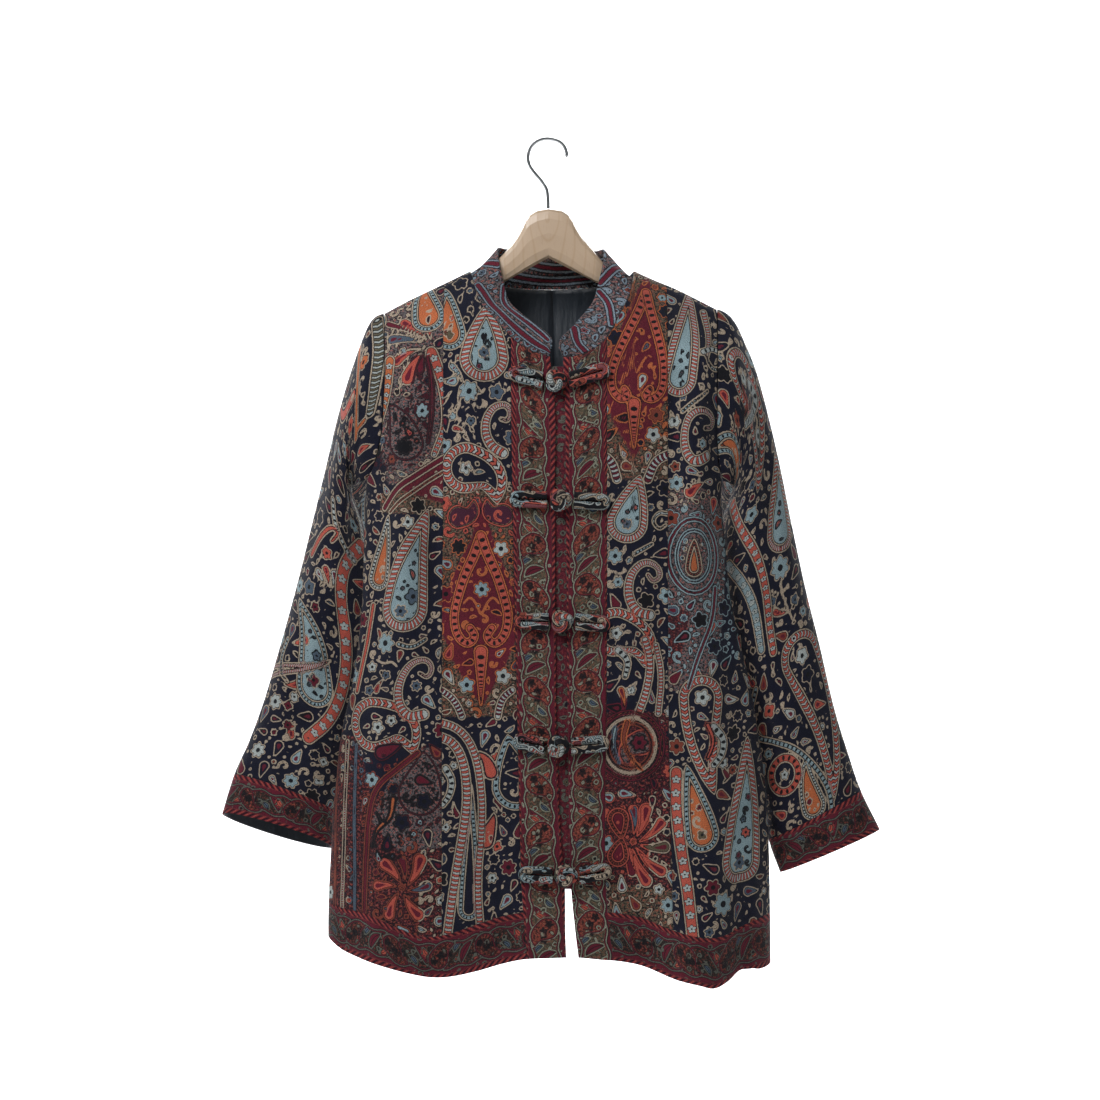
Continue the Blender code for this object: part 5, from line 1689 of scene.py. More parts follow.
# Large drops: bulb x and drop, tip x and drop, radius, bend, curl, band width, band style, band, field, edge.
DROPS = {
    "front_centre_left": (
        (-106.1, 215.4, -102.8, 162.3, 18.5, 0.05, 0.15, 5.5, BEADS, "sky", "orange", "cream"),
        (-68.2, 241.3, -64.9, 182.9, 27.0, 0.0, 0.0, 10.0, TICKS, "coral", "sky", "cream"),
        (-87.6, 361.5, -54.1, 399.4, 28.0, 0.25, 0.0, 10.0, CHEVRONS, "coral", "navy", "cream"),
        (-96.3, 414.6, -79.0, 396.2, 13.0, -0.3, 0.0, 0.0, PLAIN, "plum", "plum", "coral"),
        (-47.6, 412.4, -64.9, 396.2, 13.0, 0.3, 0.0, 0.0, PLAIN, "plum", "plum", "coral"),
        (-33.5, 704.7, -42.2, 650.6, 27.0, 0.0, 0.0, 7.0, BEADS, "sky", "navy", "cream"),
        (-66.0, 764.3, -48.7, 738.3, 10.0, 0.1, 0.3, 0.0, PLAIN, "coral", "coral", "cream"),
        (-60.6, 690.7, -68.2, 663.6, 8.5, 0.0, 0.4, 0.0, PLAIN, "coral", "coral", "cream"),
        (-84.4, 837.9, -82.2, 703.7, 12.5, 0.0, 0.0, 5.0, BEADS, "sky", "navy", "cream"),
    ),
    "front_side_left": (
        (-152.6, 334.4, -162.4, 290.1, 19.0, 0.0, 0.2, 0.0, PLAIN, "grey", "grey", "wine"),
        (-154.8, 512.0, -128.8, 407.0, 27.0, 0.04, 0.0, 9.5, TICKS, "coral", "sky", "cream"),
        (-182.9, 480.6, -172.1, 413.5, 14.0, 0.0, 0.0, 4.5, BEADS, "pale", "orange", "cream"),
        (-187.3, 638.7, -143.9, 670.1, 30.0, 0.3, 0.0, 9.0, CHEVRONS, "coral", "navy", "cream"),
        (-136.4, 712.3, -128.8, 669.0, 24.0, 0.0, 0.1, 0.0, PLAIN, "grey", "grey", "wine"),
        (-178.6, 669.0, -156.9, 660.3, 9.0, 0.0, 0.0, 0.0, PLAIN, "maroon", "maroon", "wine"),
    ),
    "front_centre_right": (
        (86.7, 420.0, 100.7, 370.2, 23.0, 0.0, 0.0, 7.5, TICKS, "coral", "sky", "cream"),
        (74.8, 539.1, 107.2, 578.1, 27.0, 0.25, 0.0, 9.0, CHEVRONS, "coral", "navy", "cream"),
        (101.8, 658.2, 87.8, 684.2, 14.0, -0.3, 0.0, 0.0, PLAIN, "grey", "grey", "coral"),
        (76.9, 740.5, 81.3, 762.1, 12.0, 0.0, 0.0, 4.0, BEADS, "rust", "maroon", "coral"),
        (76.9, 780.5, 81.3, 762.1, 12.0, 0.0, 0.0, 4.0, BEADS, "rust", "maroon", "coral"),
    ),
    "front_side_right": (
        (143.0, 264.1, 153.8, 168.8, 20.0, 0.0, 0.0, 7.5, TICKS, "coral", "sky", "cream"),
        (159.2, 469.8, 159.2, 439.5, 10.0, 0.0, 0.0, 3.5, BEADS, "rust", "orange", "cream"),
        (166.8, 610.5, 179.8, 712.3, 25.0, -0.05, 0.0, 9.0, CHEVRONS, "coral", "navy", "cream"),
        (166.8, 756.7, 150.5, 683.1, 19.0, 0.0, 0.0, 5.5, BEADS, "sky", "orange", "cream"),
        (209.0, 783.8, 217.7, 653.9, 26.0, 0.0, 0.0, 9.0, TICKS, "coral", "sky", "cream"),
    ),
    "sleeve_left": (
        (-215.4, 384.7, -202.3, 455.8, 24.0, 0.0, 0.0, 7.0, BEADS, "pale", "navy", "cream"),
        (-254.8, 599.0, -266.8, 500.6, 23.0, -0.05, 0.1, 5.0, BEADS, "sky", "sky", "cream"),
        (-211.1, 284.1, -226.4, 290.6, 9.0, 0.3, 0.0, 0.0, PLAIN, "coral", "coral", "cream"),
        (-218.7, 690.9, -228.6, 652.6, 14.0, 0.1, 0.3, 4.5, TICKS, "coral", "navy", "cream"),
    ),
    "sleeve_right": (
        (214.4, 262.2, 229.7, 386.9, 28.0, -0.05, 0.0, 8.5, CHEVRONS, "coral", "navy", "cream"),
        (255.9, 431.7, 250.5, 343.1, 20.0, 0.0, 0.0, 6.5, TICKS, "coral", "sky", "cream"),
        (280.0, 566.2, 311.7, 725.9, 28.0, -0.08, 0.0, 8.5, CHEVRONS, "coral", "navy", "cream"),
        (292.0, 730.3, 273.4, 680.0, 15.0, 0.0, 0.2, 4.0, BEADS, "pale", "orange", "cream"),
    ),
}

# Bands with one row of motifs: half width, taper, style, band, edge, and their path.
STRIPS = {
    "front_centre_left": (
        (6.5, 0.55, TICKS, "coral", "cream",
            ((-47.6, 345.3), (-59.5, 338.8), (-67.1, 324.7), (-66.0, 307.4), (-57.3, 294.4), (-44.3, 292.2),
            (-38.9, 300.9), (-42.2, 310.6), (-49.8, 308.5))),
        (5.5, 0.0, TICKS, "coral", "cream", ((-119.0, 650.6), (-99.6, 658.2), (-88.7, 683.1), (-85.5, 721.0), (-92.0, 764.3), (-99.6, 807.6),
            (-107.1, 863.9))),
        (4.8, 0.0, TICKS, "coral", "cream", ((-119.0, 635.4), (-94.1, 643.0), (-77.9, 666.8), (-70.3, 710.2), (-70.3, 753.5), (-75.7, 807.6),
            (-71.4, 863.9))),
        (5.0, 0.2, BEADS, "pale", "cream", ((-109.3, 686.3), (-101.7, 699.3), (-105.0, 715.6), (-112.6, 725.3))),
        (6.2, 0.2, BEADS, "coral", "orange",
            ((-71.4, 435.1), (-79.0, 456.8), (-88.7, 476.3), (-96.3, 500.1), (-101.7, 521.8), (-97.4, 543.4),
            (-85.5, 553.2), (-76.8, 543.4), (-83.3, 534.8))),
        (6.2, 0.2, BEADS, "coral", "orange",
            ((-71.4, 435.1), (-63.8, 456.8), (-54.1, 476.3), (-46.5, 500.1), (-41.1, 521.8), (-45.4, 543.4),
            (-57.3, 553.2), (-66.0, 543.4), (-59.5, 534.8))),
        (8.0, 0.75, BEADS, "coral", "orange", ((-71.4, 560.7), (-71.4, 586.7), (-71.4, 617.0))),
        (4.5, 0.0, TICKS, "maroon", "cream", ((-114.7, 601.9), (-102.8, 609.5), (-95.2, 621.4), (-92.0, 630.0))),
        (4.5, 0.0, TICKS, "maroon", "cream", ((-37.8, 601.9), (-47.6, 609.5), (-51.9, 621.4), (-53.0, 630.0))),
    ),
    "front_side_left": (
        (7.0, 0.45, FLORETS, "coral", "cream", ((-125.5, 235.9), (-119.0, 251.1), (-112.6, 271.7), (-109.3, 296.6), (-110.4, 318.2), (-116.9, 333.4),
            (-122.3, 346.4))),
        (3.2, 0.3, PLAIN, "maroon", "wine", ((-129.9, 240.3), (-124.5, 266.2), (-124.5, 304.1), (-128.8, 333.4))),
        (6.5, 0.4, FLORETS, "orange", "cream", ((-171.0, 244.6), (-173.2, 279.2), (-180.8, 307.4), (-187.3, 326.9))),
        (3.8, 0.0, PLAIN, "maroon", "cream", ((-112.6, 350.7), (-139.6, 368.0), (-162.4, 383.2), (-176.4, 404.8))),
        (2.6, 0.0, PLAIN, "rust", "cream", ((-112.6, 365.8), (-133.1, 378.8), (-154.8, 394.0), (-169.9, 409.2))),
        (6.5, 0.6, TICKS, "coral", "cream",
            ((-133.1, 627.9), (-150.4, 631.1), (-160.2, 617.0), (-161.3, 599.7), (-154.8, 582.4), (-143.9, 570.5),
            (-129.9, 568.3), (-123.4, 578.1), (-128.8, 588.9), (-137.5, 583.5))),
        (3.4, 0.2, BEADS, "sky", "cream", ((-160.2, 552.1), (-146.1, 556.4), (-131.0, 546.7))),
        (3.2, 0.0, PLAIN, "coral", "cream", ((-189.4, 509.8), (-194.8, 547.7), (-203.5, 588.9), (-206.7, 604.0))),
        (2.8, 0.0, TICKS, "coral", "cream", ((-216.5, 658.2), (-218.7, 721.0), (-220.8, 785.9), (-224.1, 863.9))),
        (1.8, 0.0, PLAIN, "sky", "steel", ((-206.7, 661.4), (-207.8, 742.6), (-208.9, 863.9))),
        (2.2, 0.0, PLAIN, "maroon", "rust", ((-227.3, 661.4), (-229.5, 721.0), (-232.7, 863.9))),
        (3.4, 0.0, PLAIN, "maroon", "rust", ((-139.6, 669.0), (-161.3, 686.3), (-180.8, 701.5), (-191.6, 723.1), (-197.0, 775.1), (-199.2, 863.9))),
        (3.6, 0.5, PLAIN, "orange", "black", ((-165.6, 718.8), (-167.8, 737.2), (-176.4, 747.0), (-184.0, 734.0))),
        (3.2, 0.5, PLAIN, "orange", "black", ((-176.4, 744.8), (-185.1, 753.5), (-189.4, 770.8))),
    ),
    "front_centre_right": (
        (6.0, 0.2, BEADS, "coral", "orange",
            ((108.3, 168.8), (100.7, 188.3), (92.1, 205.6), (83.4, 222.9), (74.8, 241.3), (69.3, 259.7),
            (70.4, 277.1), (80.2, 287.9), (88.8, 283.6), (83.4, 276.0))),
        (6.0, 0.2, BEADS, "coral", "orange",
            ((108.3, 168.8), (112.7, 190.4), (119.2, 212.1), (124.6, 233.8), (127.8, 257.6), (124.6, 279.2),
            (113.7, 287.9), (105.1, 283.6), (111.6, 276.0))),
        (8.0, 0.75, BEADS, "coral", "orange", ((94.2, 292.2), (94.2, 313.9), (94.2, 339.9))),
        (3.2, 0.2, BEADS, "sky", "cream", ((94.2, 454.6), (113.7, 443.8))),
        (3.0, 0.3, PLAIN, "pale", "cream", ((131.1, 411.3), (121.3, 409.2), (113.7, 418.9), (121.3, 428.6), (128.9, 423.2))),
        (6.5, 0.55, TICKS, "coral", "cream",
            ((111.6, 520.7), (98.6, 518.5), (88.8, 504.4), (87.8, 487.1), (93.2, 472.0), (106.2, 462.2),
            (120.2, 467.6), (123.5, 479.5), (114.8, 484.9), (109.4, 477.4))),
        (5.5, 0.0, TICKS, "maroon", "cream", ((57.4, 346.4), (70.4, 353.9), (75.8, 373.4))),
        (5.5, 0.0, TICKS, "maroon", "cream", ((132.1, 346.4), (117.0, 353.9), (109.4, 373.4))),
        (4.8, 0.0, TICKS, "coral", "cream", ((106.2, 547.7), (112.7, 569.4), (108.3, 601.9), (98.6, 626.8))),
        (3.8, 0.0, TICKS, "coral", "cream", ((118.1, 553.2), (124.6, 585.6), (120.2, 626.8))),
        (5.0, 0.2, BEADS, "pale", "cream", ((76.9, 558.6), (88.8, 569.4), (84.5, 586.7))),
        (2.6, 0.0, PLAIN, "rust", "maroon", CIRCLE, 89.9, 661.4, 35.0, 36.0),
        (1.6, 0.0, PLAIN, "cream", "cream", CIRCLE, 89.9, 661.4, 28.0, 30.0),
        (2.4, 0.0, PLAIN, "wine", "rust", CIRCLE, 91.0, 661.4, 22.0, 24.0),
        (3.8, 0.4, PLAIN, "rust", "orange", ((86.7, 636.5), (81.3, 656.0), (89.9, 674.4), (101.8, 687.4))),
        (3.2, 0.4, PLAIN, "sky", "steel", ((73.7, 643.0), (70.4, 661.4), (78.0, 679.8))),
    ),
    "front_side_right": (
        (4.5, 0.2, TICKS, "coral", "cream", ((171.1, 190.4), (176.5, 217.5), (173.3, 240.3))),
        (4.8, 0.4, BEADS, "pale", "cream", ((169.0, 235.9), (179.8, 230.5), (191.7, 237.0), (192.8, 251.1), (180.9, 255.4), (174.4, 246.7))),
        (6.5, 0.5, TICKS, "coral", "cream",
            ((172.2, 348.5), (158.1, 356.1), (148.4, 339.9), (148.4, 320.4), (154.9, 303.1), (167.9, 297.6),
            (179.8, 305.2), (179.8, 317.1), (170.0, 318.2))),
        (3.2, 0.2, BEADS, "sky", "cream", ((146.2, 299.8), (159.2, 290.1), (173.3, 278.1))),
        (2.8, 0.0, PLAIN, "maroon", "sky", CIRCLE, 159.2, 456.8, 29.0, 40.0),
        (2.2, 0.0, PLAIN, "steel", "sky", CIRCLE, 159.2, 456.8, 20.0, 28.0),
        (3.2, 0.2, PLAIN, "maroon", "sky", ((183.0, 491.4), (179.8, 526.1), (164.6, 560.7), (152.7, 599.7))),
        (7.2, 0.0, FLORETS, "coral", "cream", ((139.7, 690.7), (138.6, 721.0), (141.9, 753.5), (146.2, 785.9), (151.6, 818.4), (157.0, 870.4))),
        (6.0, 0.2, BEADS, "pale", "cream", ((179.8, 641.9), (191.7, 653.9), (189.5, 670.1), (179.8, 682.0))),
        (3.4, 0.2, PLAIN, "coral", "black", ((173.3, 638.7), (180.9, 656.0), (173.3, 674.4))),
    ),
    "sleeve_left": (
        (9.0, 0.15, FLORETS, "coral", "cream",
            ((-203.4, 445.9), (-219.8, 461.2), (-225.3, 483.1), (-225.3, 510.5), (-220.9, 543.3), (-219.8, 576.1),
            (-225.3, 608.9), (-237.3, 636.2), (-261.4, 655.9))),
        (7.0, 0.3, CHEVRONS, "olive", "cream", ((-185.9, 198.7), (-183.7, 231.6), (-185.9, 269.8), (-192.5, 301.6))),
        (3.8, 0.0, BEADS, "pale", "cream", ((-234.0, 395.6), (-231.8, 423.0), (-222.0, 448.1), (-211.1, 463.4))),
        (4.6, 0.4, PLAIN, "coral", "cream", ((-258.1, 454.7), (-248.3, 435.0), (-235.1, 424.1), (-227.5, 431.7), (-235.1, 440.5))),
        (4.2, 0.3, PLAIN, "orange", "cream", ((-197.9, 309.2), (-207.8, 321.2), (-207.8, 334.4), (-194.7, 344.2))),
        (3.6, 0.3, BEADS, "sky", "cream", ((-285.4, 548.7), (-292.0, 565.1), (-293.1, 583.7), (-285.4, 594.7))),
    ),
    "sleeve_right": (
        (6.5, 0.2, FLORETS, "coral", "cream", ((203.4, 398.9), (213.3, 428.4), (227.5, 455.8), (238.4, 494.0), (241.7, 532.3), (247.2, 561.9))),
        (7.5, 0.3, FLORETS, "sky", "cream", ((200.2, 467.8), (216.6, 488.6), (229.7, 515.9), (234.1, 559.7))),
        (3.8, 0.0, BEADS, "sky", "cream", ((229.7, 603.4), (224.2, 630.8), (229.7, 655.9), (249.4, 660.3), (273.4, 666.9), (296.4, 693.1),
            (315.0, 723.7), (324.9, 763.1))),
        (6.0, 0.2, BEADS, "pale", "cream", ((220.9, 269.8), (229.7, 284.1), (225.3, 302.6), (215.5, 314.7))),
        (3.2, 0.2, PLAIN, "coral", "black", ((214.4, 276.4), (219.9, 291.7), (213.3, 307.0))),
        (5.0, 0.0, BEADS, "coral", "cream", CIRCLE, 261.4, 696.4, 17.0, 18.0),
    ),
}

# Grounds inside polygons: ground, mottle and corners.
PATCHES = {
    "front_centre_left": (
        ("olive", 1.0, ((-126.6, 383.2), (-29.2, 379.9), (-29.2, 630.0), (-126.6, 630.0))),
        ("maroon", 0.1, ((-71.4, 394.0), (-57.3, 439.5), (-37.8, 488.2), (-22.7, 520.7), (-42.2, 569.4), (-70.3, 621.4),
            (-102.8, 569.4), (-121.2, 517.4), (-99.6, 472.0), (-82.2, 439.5))),
    ),
    "front_side_left": (
        ("grey", 1.0, ((-213.2, 192.6), (-109.3, 168.8), (-109.3, 376.7), (-172.1, 378.8), (-185.1, 331.2), (-189.4, 287.9),
            (-189.4, 233.8))),
        ("maroon", 0.2, ((-137.5, 359.4), (-107.1, 346.4), (-107.1, 402.7), (-161.3, 389.7))),
        ("olive", 1.0, ((-180.8, 389.7), (-159.1, 385.3), (-107.1, 401.6), (-107.1, 413.5), (-180.8, 409.2))),
        ("wine", 1.0, ((-245.7, 653.9), (-203.5, 653.9), (-189.4, 721.0), (-107.1, 661.4), (-107.1, 872.6), (-245.7, 872.6))),
        ("grey", 1.0, ((-189.4, 742.6), (-164.5, 688.5), (-137.5, 664.7), (-107.1, 664.7), (-107.1, 769.7), (-159.1, 775.1))),
    ),
    "front_centre_right": (
        ("olive", 1.0, ((52.0, 138.5), (144.1, 138.5), (144.1, 373.4), (52.0, 373.4))),
        ("maroon", 0.1, ((109.4, 147.1), (115.9, 185.0), (124.6, 217.5), (135.4, 250.0), (134.3, 274.9), (115.9, 313.9),
            (94.2, 352.9), (75.8, 320.4), (62.8, 293.3), (61.8, 250.0), (79.1, 212.1), (94.2, 174.2))),
        ("wine", 1.0, ((52.0, 625.7), (144.1, 625.7), (144.1, 834.7), (52.0, 834.7))),
        ("olive", 1.0, ((52.0, 807.6), (144.1, 818.4), (144.1, 878.0), (52.0, 878.0))),
    ),
    "front_side_right": (
        ("grey", 1.0, ((117.0, 387.5), (169.0, 383.2), (189.5, 404.8), (193.9, 461.1), (193.9, 515.3), (183.0, 569.4),
            (167.9, 601.9), (117.0, 601.9))),
        ("wine", 0.8, ((117.0, 504.4), (154.9, 517.4), (144.1, 569.4), (117.0, 582.4))),
    ),
}

# Small drops of the fans and sprigs: bulb x and drop, tip x and drop, radius, fill.
PETALS = {
    "front_side_left": (
        (-138.5, 189.4, -129.9, 224.0, 8.0, "coral"),
        (-155.9, 202.4, -133.1, 225.1, 6.5, "coral"),
        (-168.9, 220.8, -134.2, 228.3, 7.0, "steel"),
        (-163.4, 245.7, -134.2, 232.7, 6.5, "coral"),
        (-151.5, 264.1, -132.0, 237.0, 8.0, "coral"),
        (-137.5, 254.3, -129.9, 237.0, 5.0, "maroon"),
        (-173.2, 203.4, -139.6, 224.0, 4.5, "maroon"),
        (-174.3, 788.1, -159.1, 809.8, 8.0, "coral"),
        (-136.4, 783.8, -152.6, 809.8, 8.0, "coral"),
        (-182.9, 811.9, -161.3, 814.1, 6.5, "coral"),
        (-169.9, 842.2, -156.9, 819.5, 7.0, "coral"),
        (-138.5, 842.2, -151.5, 818.4, 7.5, "coral"),
        (-128.8, 811.9, -150.4, 814.1, 6.0, "steel"),
        (-155.9, 783.8, -154.8, 805.4, 5.0, "maroon"),
        (-185.1, 601.9, -176.4, 591.1, 4.5, "coral"),
    ),
    "front_centre_left": (
        (-99.6, 318.2, -87.6, 324.7, 4.0, "coral"),
        (-102.8, 251.1, -92.0, 270.6, 4.6, "sky"),
        (-54.1, 721.0, -50.8, 734.0, 4.5, "maroon"),
        (-97.4, 736.1, -99.6, 721.0, 4.0, "maroon"),
    ),
    "front_centre_right": (
        (107.2, 730.7, 94.2, 758.9, 7.5, "coral"),
        (123.5, 744.8, 97.5, 763.2, 7.0, "coral"),
        (107.2, 807.6, 95.3, 770.8, 7.5, "coral"),
        (123.5, 796.8, 98.6, 768.6, 7.0, "coral"),
        (93.2, 730.7, 91.0, 757.8, 5.5, "steel"),
        (126.7, 770.8, 100.7, 766.5, 7.0, "olive"),
        (92.1, 798.9, 91.0, 770.8, 5.0, "maroon"),
        (80.2, 601.9, 81.3, 625.7, 5.0, "orange"),
        (113.7, 612.7, 112.7, 582.4, 4.0, "sky"),
    ),
    "front_side_right": (
        (154.9, 387.5, 170.0, 378.8, 7.0, "coral"),
        (178.7, 531.5, 165.7, 547.7, 6.0, "coral"),
        (164.6, 588.9, 164.6, 578.1, 5.0, "coral"),
        (194.9, 693.9, 189.5, 679.8, 4.5, "maroon"),
        (154.9, 363.7, 165.7, 372.3, 5.0, "sky"),
    ),
    "sleeve_left": (
        (-250.4, 474.4, -243.9, 491.9, 5.0, "pale"),
        (-241.7, 471.1, -240.6, 491.9, 5.0, "coral"),
        (-232.9, 475.5, -237.3, 491.9, 5.0, "pale"),
        (-265.8, 548.7, -281.1, 550.9, 6.5, "coral"),
        (-272.3, 596.9, -289.8, 594.7, 6.0, "coral"),
        (-281.1, 652.6, -274.5, 638.4, 6.0, "coral"),
    ),
    "sleeve_right": (
        (236.3, 280.8, 233.0, 270.9, 4.5, "maroon"),
        (237.4, 304.8, 229.7, 295.0, 4.8, "maroon"),
        (252.7, 518.1, 265.8, 515.9, 5.0, "coral"),
        (224.2, 598.0, 213.3, 583.7, 5.5, "coral"),
    ),
}

# Flowers: x, drop, radius, petals, fill.
FLOWERS = {
    "front_centre_left": (
        (-84.4, 278.1, 13.0, 7, "sky"), (-101.7, 305.2, 6.0, 5, "sky"), (-82.2, 310.6, 7.0, 5, "steel"),
        (-54.1, 770.8, 7.0, 4, "coral"), (-54.1, 674.4, 7.0, 5, "coral"), (-100.6, 683.1, 5.5, 5, "pale"),
        (-109.3, 749.1, 6.5, 5, "pale"), (-68.2, 235.9, 7.5, 6, "steel"), (-106.1, 216.4, 6.5, 4, "olive"),
        (-87.6, 361.5, 8.5, 5, "pale"),
    ),
    "front_side_left": (
        (-175.3, 551.0, 12.5, 7, "sky"), (-190.5, 577.0, 7.0, 5, "pale"), (-174.3, 585.6, 6.5, 5, "steel"),
        (-178.6, 331.2, 6.0, 6, "steel"), (-150.4, 420.0, 8.0, 6, "pale"), (-158.0, 516.3, 8.0, 6, "steel"),
        (-182.9, 641.9, 8.5, 5, "pale"), (-155.9, 813.0, 4.5, 5, "rust"),
    ),
    "front_centre_right": (
        (76.9, 484.9, 7.5, 6, "sky"), (73.7, 456.8, 10.0, 6, "sky"), (86.7, 422.1, 7.0, 6, "steel"),
        (74.8, 540.2, 8.5, 5, "pale"), (91.0, 601.9, 6.5, 5, "pale"), (93.2, 765.4, 4.5, 5, "rust"),
    ),
    "front_side_right": (
        (137.6, 310.6, 8.5, 6, "pale"), (189.5, 831.4, 14.0, 7, "sky"), (174.4, 860.6, 7.0, 6, "steel"),
        (167.9, 609.5, 10.0, 5, "pale"), (189.5, 679.8, 8.0, 6, "pale"), (207.9, 788.1, 9.0, 6, "steel"),
        (166.8, 756.7, 6.5, 4, "olive"), (147.3, 283.6, 6.0, 5, "steel"),
    ),
    "sleeve_left": (
        (-200.1, 245.8, 9.5, 6, "orange"), (-214.3, 315.8, 10.0, 6, "coral"), (-240.6, 453.6, 8.0, 5, "coral"),
        (-250.4, 702.9, 8.0, 4, "pale"), (-245.0, 682.2, 7.0, 4, "pale"), (-255.9, 593.6, 8.5, 4, "maroon"),
        (-215.4, 383.6, 9.0, 5, "pale"), (-220.9, 340.9, 8.0, 5, "sky"), (-284.3, 620.9, 6.5, 4, "maroon"),
    ),
    "sleeve_right": (
        (254.9, 470.0, 14.0, 7, "sky"), (248.3, 506.1, 7.0, 5, "steel"), (270.2, 505.0, 7.5, 5, "steel"),
        (245.0, 626.4, 9.5, 4, "coral"), (230.8, 325.6, 9.5, 5, "pale"), (203.4, 327.8, 9.5, 6, "coral"),
        (280.0, 566.2, 10.0, 5, "pale"), (214.4, 262.2, 9.0, 5, "pale"), (261.4, 696.4, 7.0, 5, "pale"),
        (208.9, 652.6, 7.0, 5, "coral"),
    ),
}

# Stems and veins drawn as thin lines.
LINES = {
    "front_centre_left": (
        ("pale", ((-89.8, 507.7), (-83.3, 500.1), (-75.7, 508.8), (-71.4, 522.8), (-66.0, 508.8), (-58.4, 500.1),
            (-51.9, 507.7))),
        ("cream", ((-96.3, 292.2), (-88.7, 297.6), (-80.1, 292.2), (-72.5, 296.6))),
        ("pale", ((-88.7, 531.5), (-81.2, 547.7), (-71.4, 558.6), (-61.7, 547.7), (-53.0, 531.5))),
    ),
    "front_side_left": (("cream", ((-185.1, 569.4), (-176.4, 573.7), (-167.8, 570.5), (-162.4, 575.9))),),
    "front_centre_right": (
        ("pale", ((80.2, 243.5), (87.8, 238.1), (94.2, 250.0), (97.5, 259.7), (101.8, 248.9), (109.4, 238.1),
            (115.9, 243.5))),
        ("pale", ((76.9, 268.4), (86.7, 277.1), (96.4, 285.7), (106.2, 277.1), (115.9, 268.4))),
        ("cream", ((70.4, 473.0), (78.0, 476.3), (85.6, 473.0))),
    ),
    "sleeve_right": (
        ("cream", ((255.9, 485.3), (257.0, 498.4), (263.6, 511.5), (268.0, 524.7))),
        ("cream", ((238.4, 491.9), (248.3, 496.2), (255.9, 498.4))),
        ("cream", ((255.9, 496.2), (265.8, 491.9), (276.7, 490.8))),
    ),
}

def draw_tables(name, cloth, turned):
    """Draws one table's patches, bands, drops, petals, flowers and lines; turned is -1 for a mirrored copy."""
    def at(x, drop):
        return tuple(cloth.at(turned * x, drop))

    for ground, mottle, corners in PATCHES.get(name, ()):
        draw_patch(cloth, [at(x, drop) for x, drop in corners], ground, mottle)
    for bulb_x, bulb_drop, tip_x, tip_drop, radius, bend, curl, width, style, band, field, edge in DROPS.get(name, ()):
        mottle = 1.0 if field == "grey" else 0.0
        draw_drop(
            cloth, at(bulb_x, bulb_drop), at(tip_x, tip_drop), radius, bend * turned, curl * turned,
            width, style, band, field, edge, mottle,
        )
    for half, taper, style, band, edge, *shape in STRIPS.get(name, ()):
        if shape[0] == CIRCLE:
            _, x, drop, wide, high = shape
            path = circle_path(*at(x, drop), wide, high)
        else:
            path = rounded_path([at(x, drop) for x, drop in shape[0]])
        draw_strip(cloth, path, half, taper, style, band, edge)
    for ink, line in LINES.get(name, ()):
        draw_line(cloth, rounded_path([at(x, drop) for x, drop in line]), 0.1, ink)
    for bulb_x, bulb_drop, tip_x, tip_drop, radius, fill in PETALS.get(name, ()):
        draw_small_drop(cloth, at(bulb_x, bulb_drop), at(tip_x, tip_drop), radius, 0.1, 0.1, fill)
    for number, (x, drop, radius, petals, fill) in enumerate(FLOWERS.get(name, ())):
        draw_flower(cloth, at(x, drop), radius, petals, 0.4 * number, fill)


# Tables that a piece takes besides its own, mirrored.
TURNED_TABLES = {
    "back_left": ("front_side_right", "front_centre_right"),
    "back_right": ("front_side_left", "front_centre_left"),
}

PATTERNED = {
    "front_side_left": front_side_left, "front_side_right": front_side_right,
    "front_centre_left": front_centre_left, "front_centre_right": front_centre_right,
    "back_left": back_left, "back_right": back_right,
    "sleeve_left": sleeve_left, "sleeve_right": sleeve_right,
}
BORDERED = {
    "hem_border_front_left": (hem_border_front_left, True), "hem_border_front_right": (hem_border_front_right, True),
    "hem_border_back_left": (hem_border_back_left, True), "hem_border_back_right": (hem_border_back_right, True),
    "front_band_left": (front_band_left, False), "front_band_right": (front_band_right, False),
    "cuff_left": (cuff_left, True), "cuff_right": (cuff_right, True),
}

for number, (name, cloth) in enumerate(PATTERNED.items()):
    fill_ground(cloth, "navy")
    draw_tables(name, cloth, 1.0)
    for table in TURNED_TABLES.get(name, ()):
        draw_tables(table, cloth, -1.0)
    spread_drops(cloth, 40 + number, number)
    scatter(cloth, 100 + number)
for number, (name, (cloth, along_rows)) in enumerate(BORDERED.items()):
    bordered = Cloth(cloth.points, cloth.normals, border_places(cloth.points, along_rows))
    half = float(bordered.high[1])
    if along_rows:
        draw_border(bordered, half, 200 + number, 11.0 * number, "bark", "brick", "sage")
    else:
        draw_border(bordered, half, 200 + number, 11.0 * number, "olive", "rust", "moss")
    BORDERED[name] = (bordered, along_rows)

underlap_cloth = Cloth(underlap.points, underlap.normals, border_places(underlap.points, False))
fill_ground(underlap_cloth, "maroon", 0.4, "sage")
scatter(underlap_cloth, 300, 5.0, 0.4, ("rust", "maroon", "navy", "coral", "olive"), "olive")


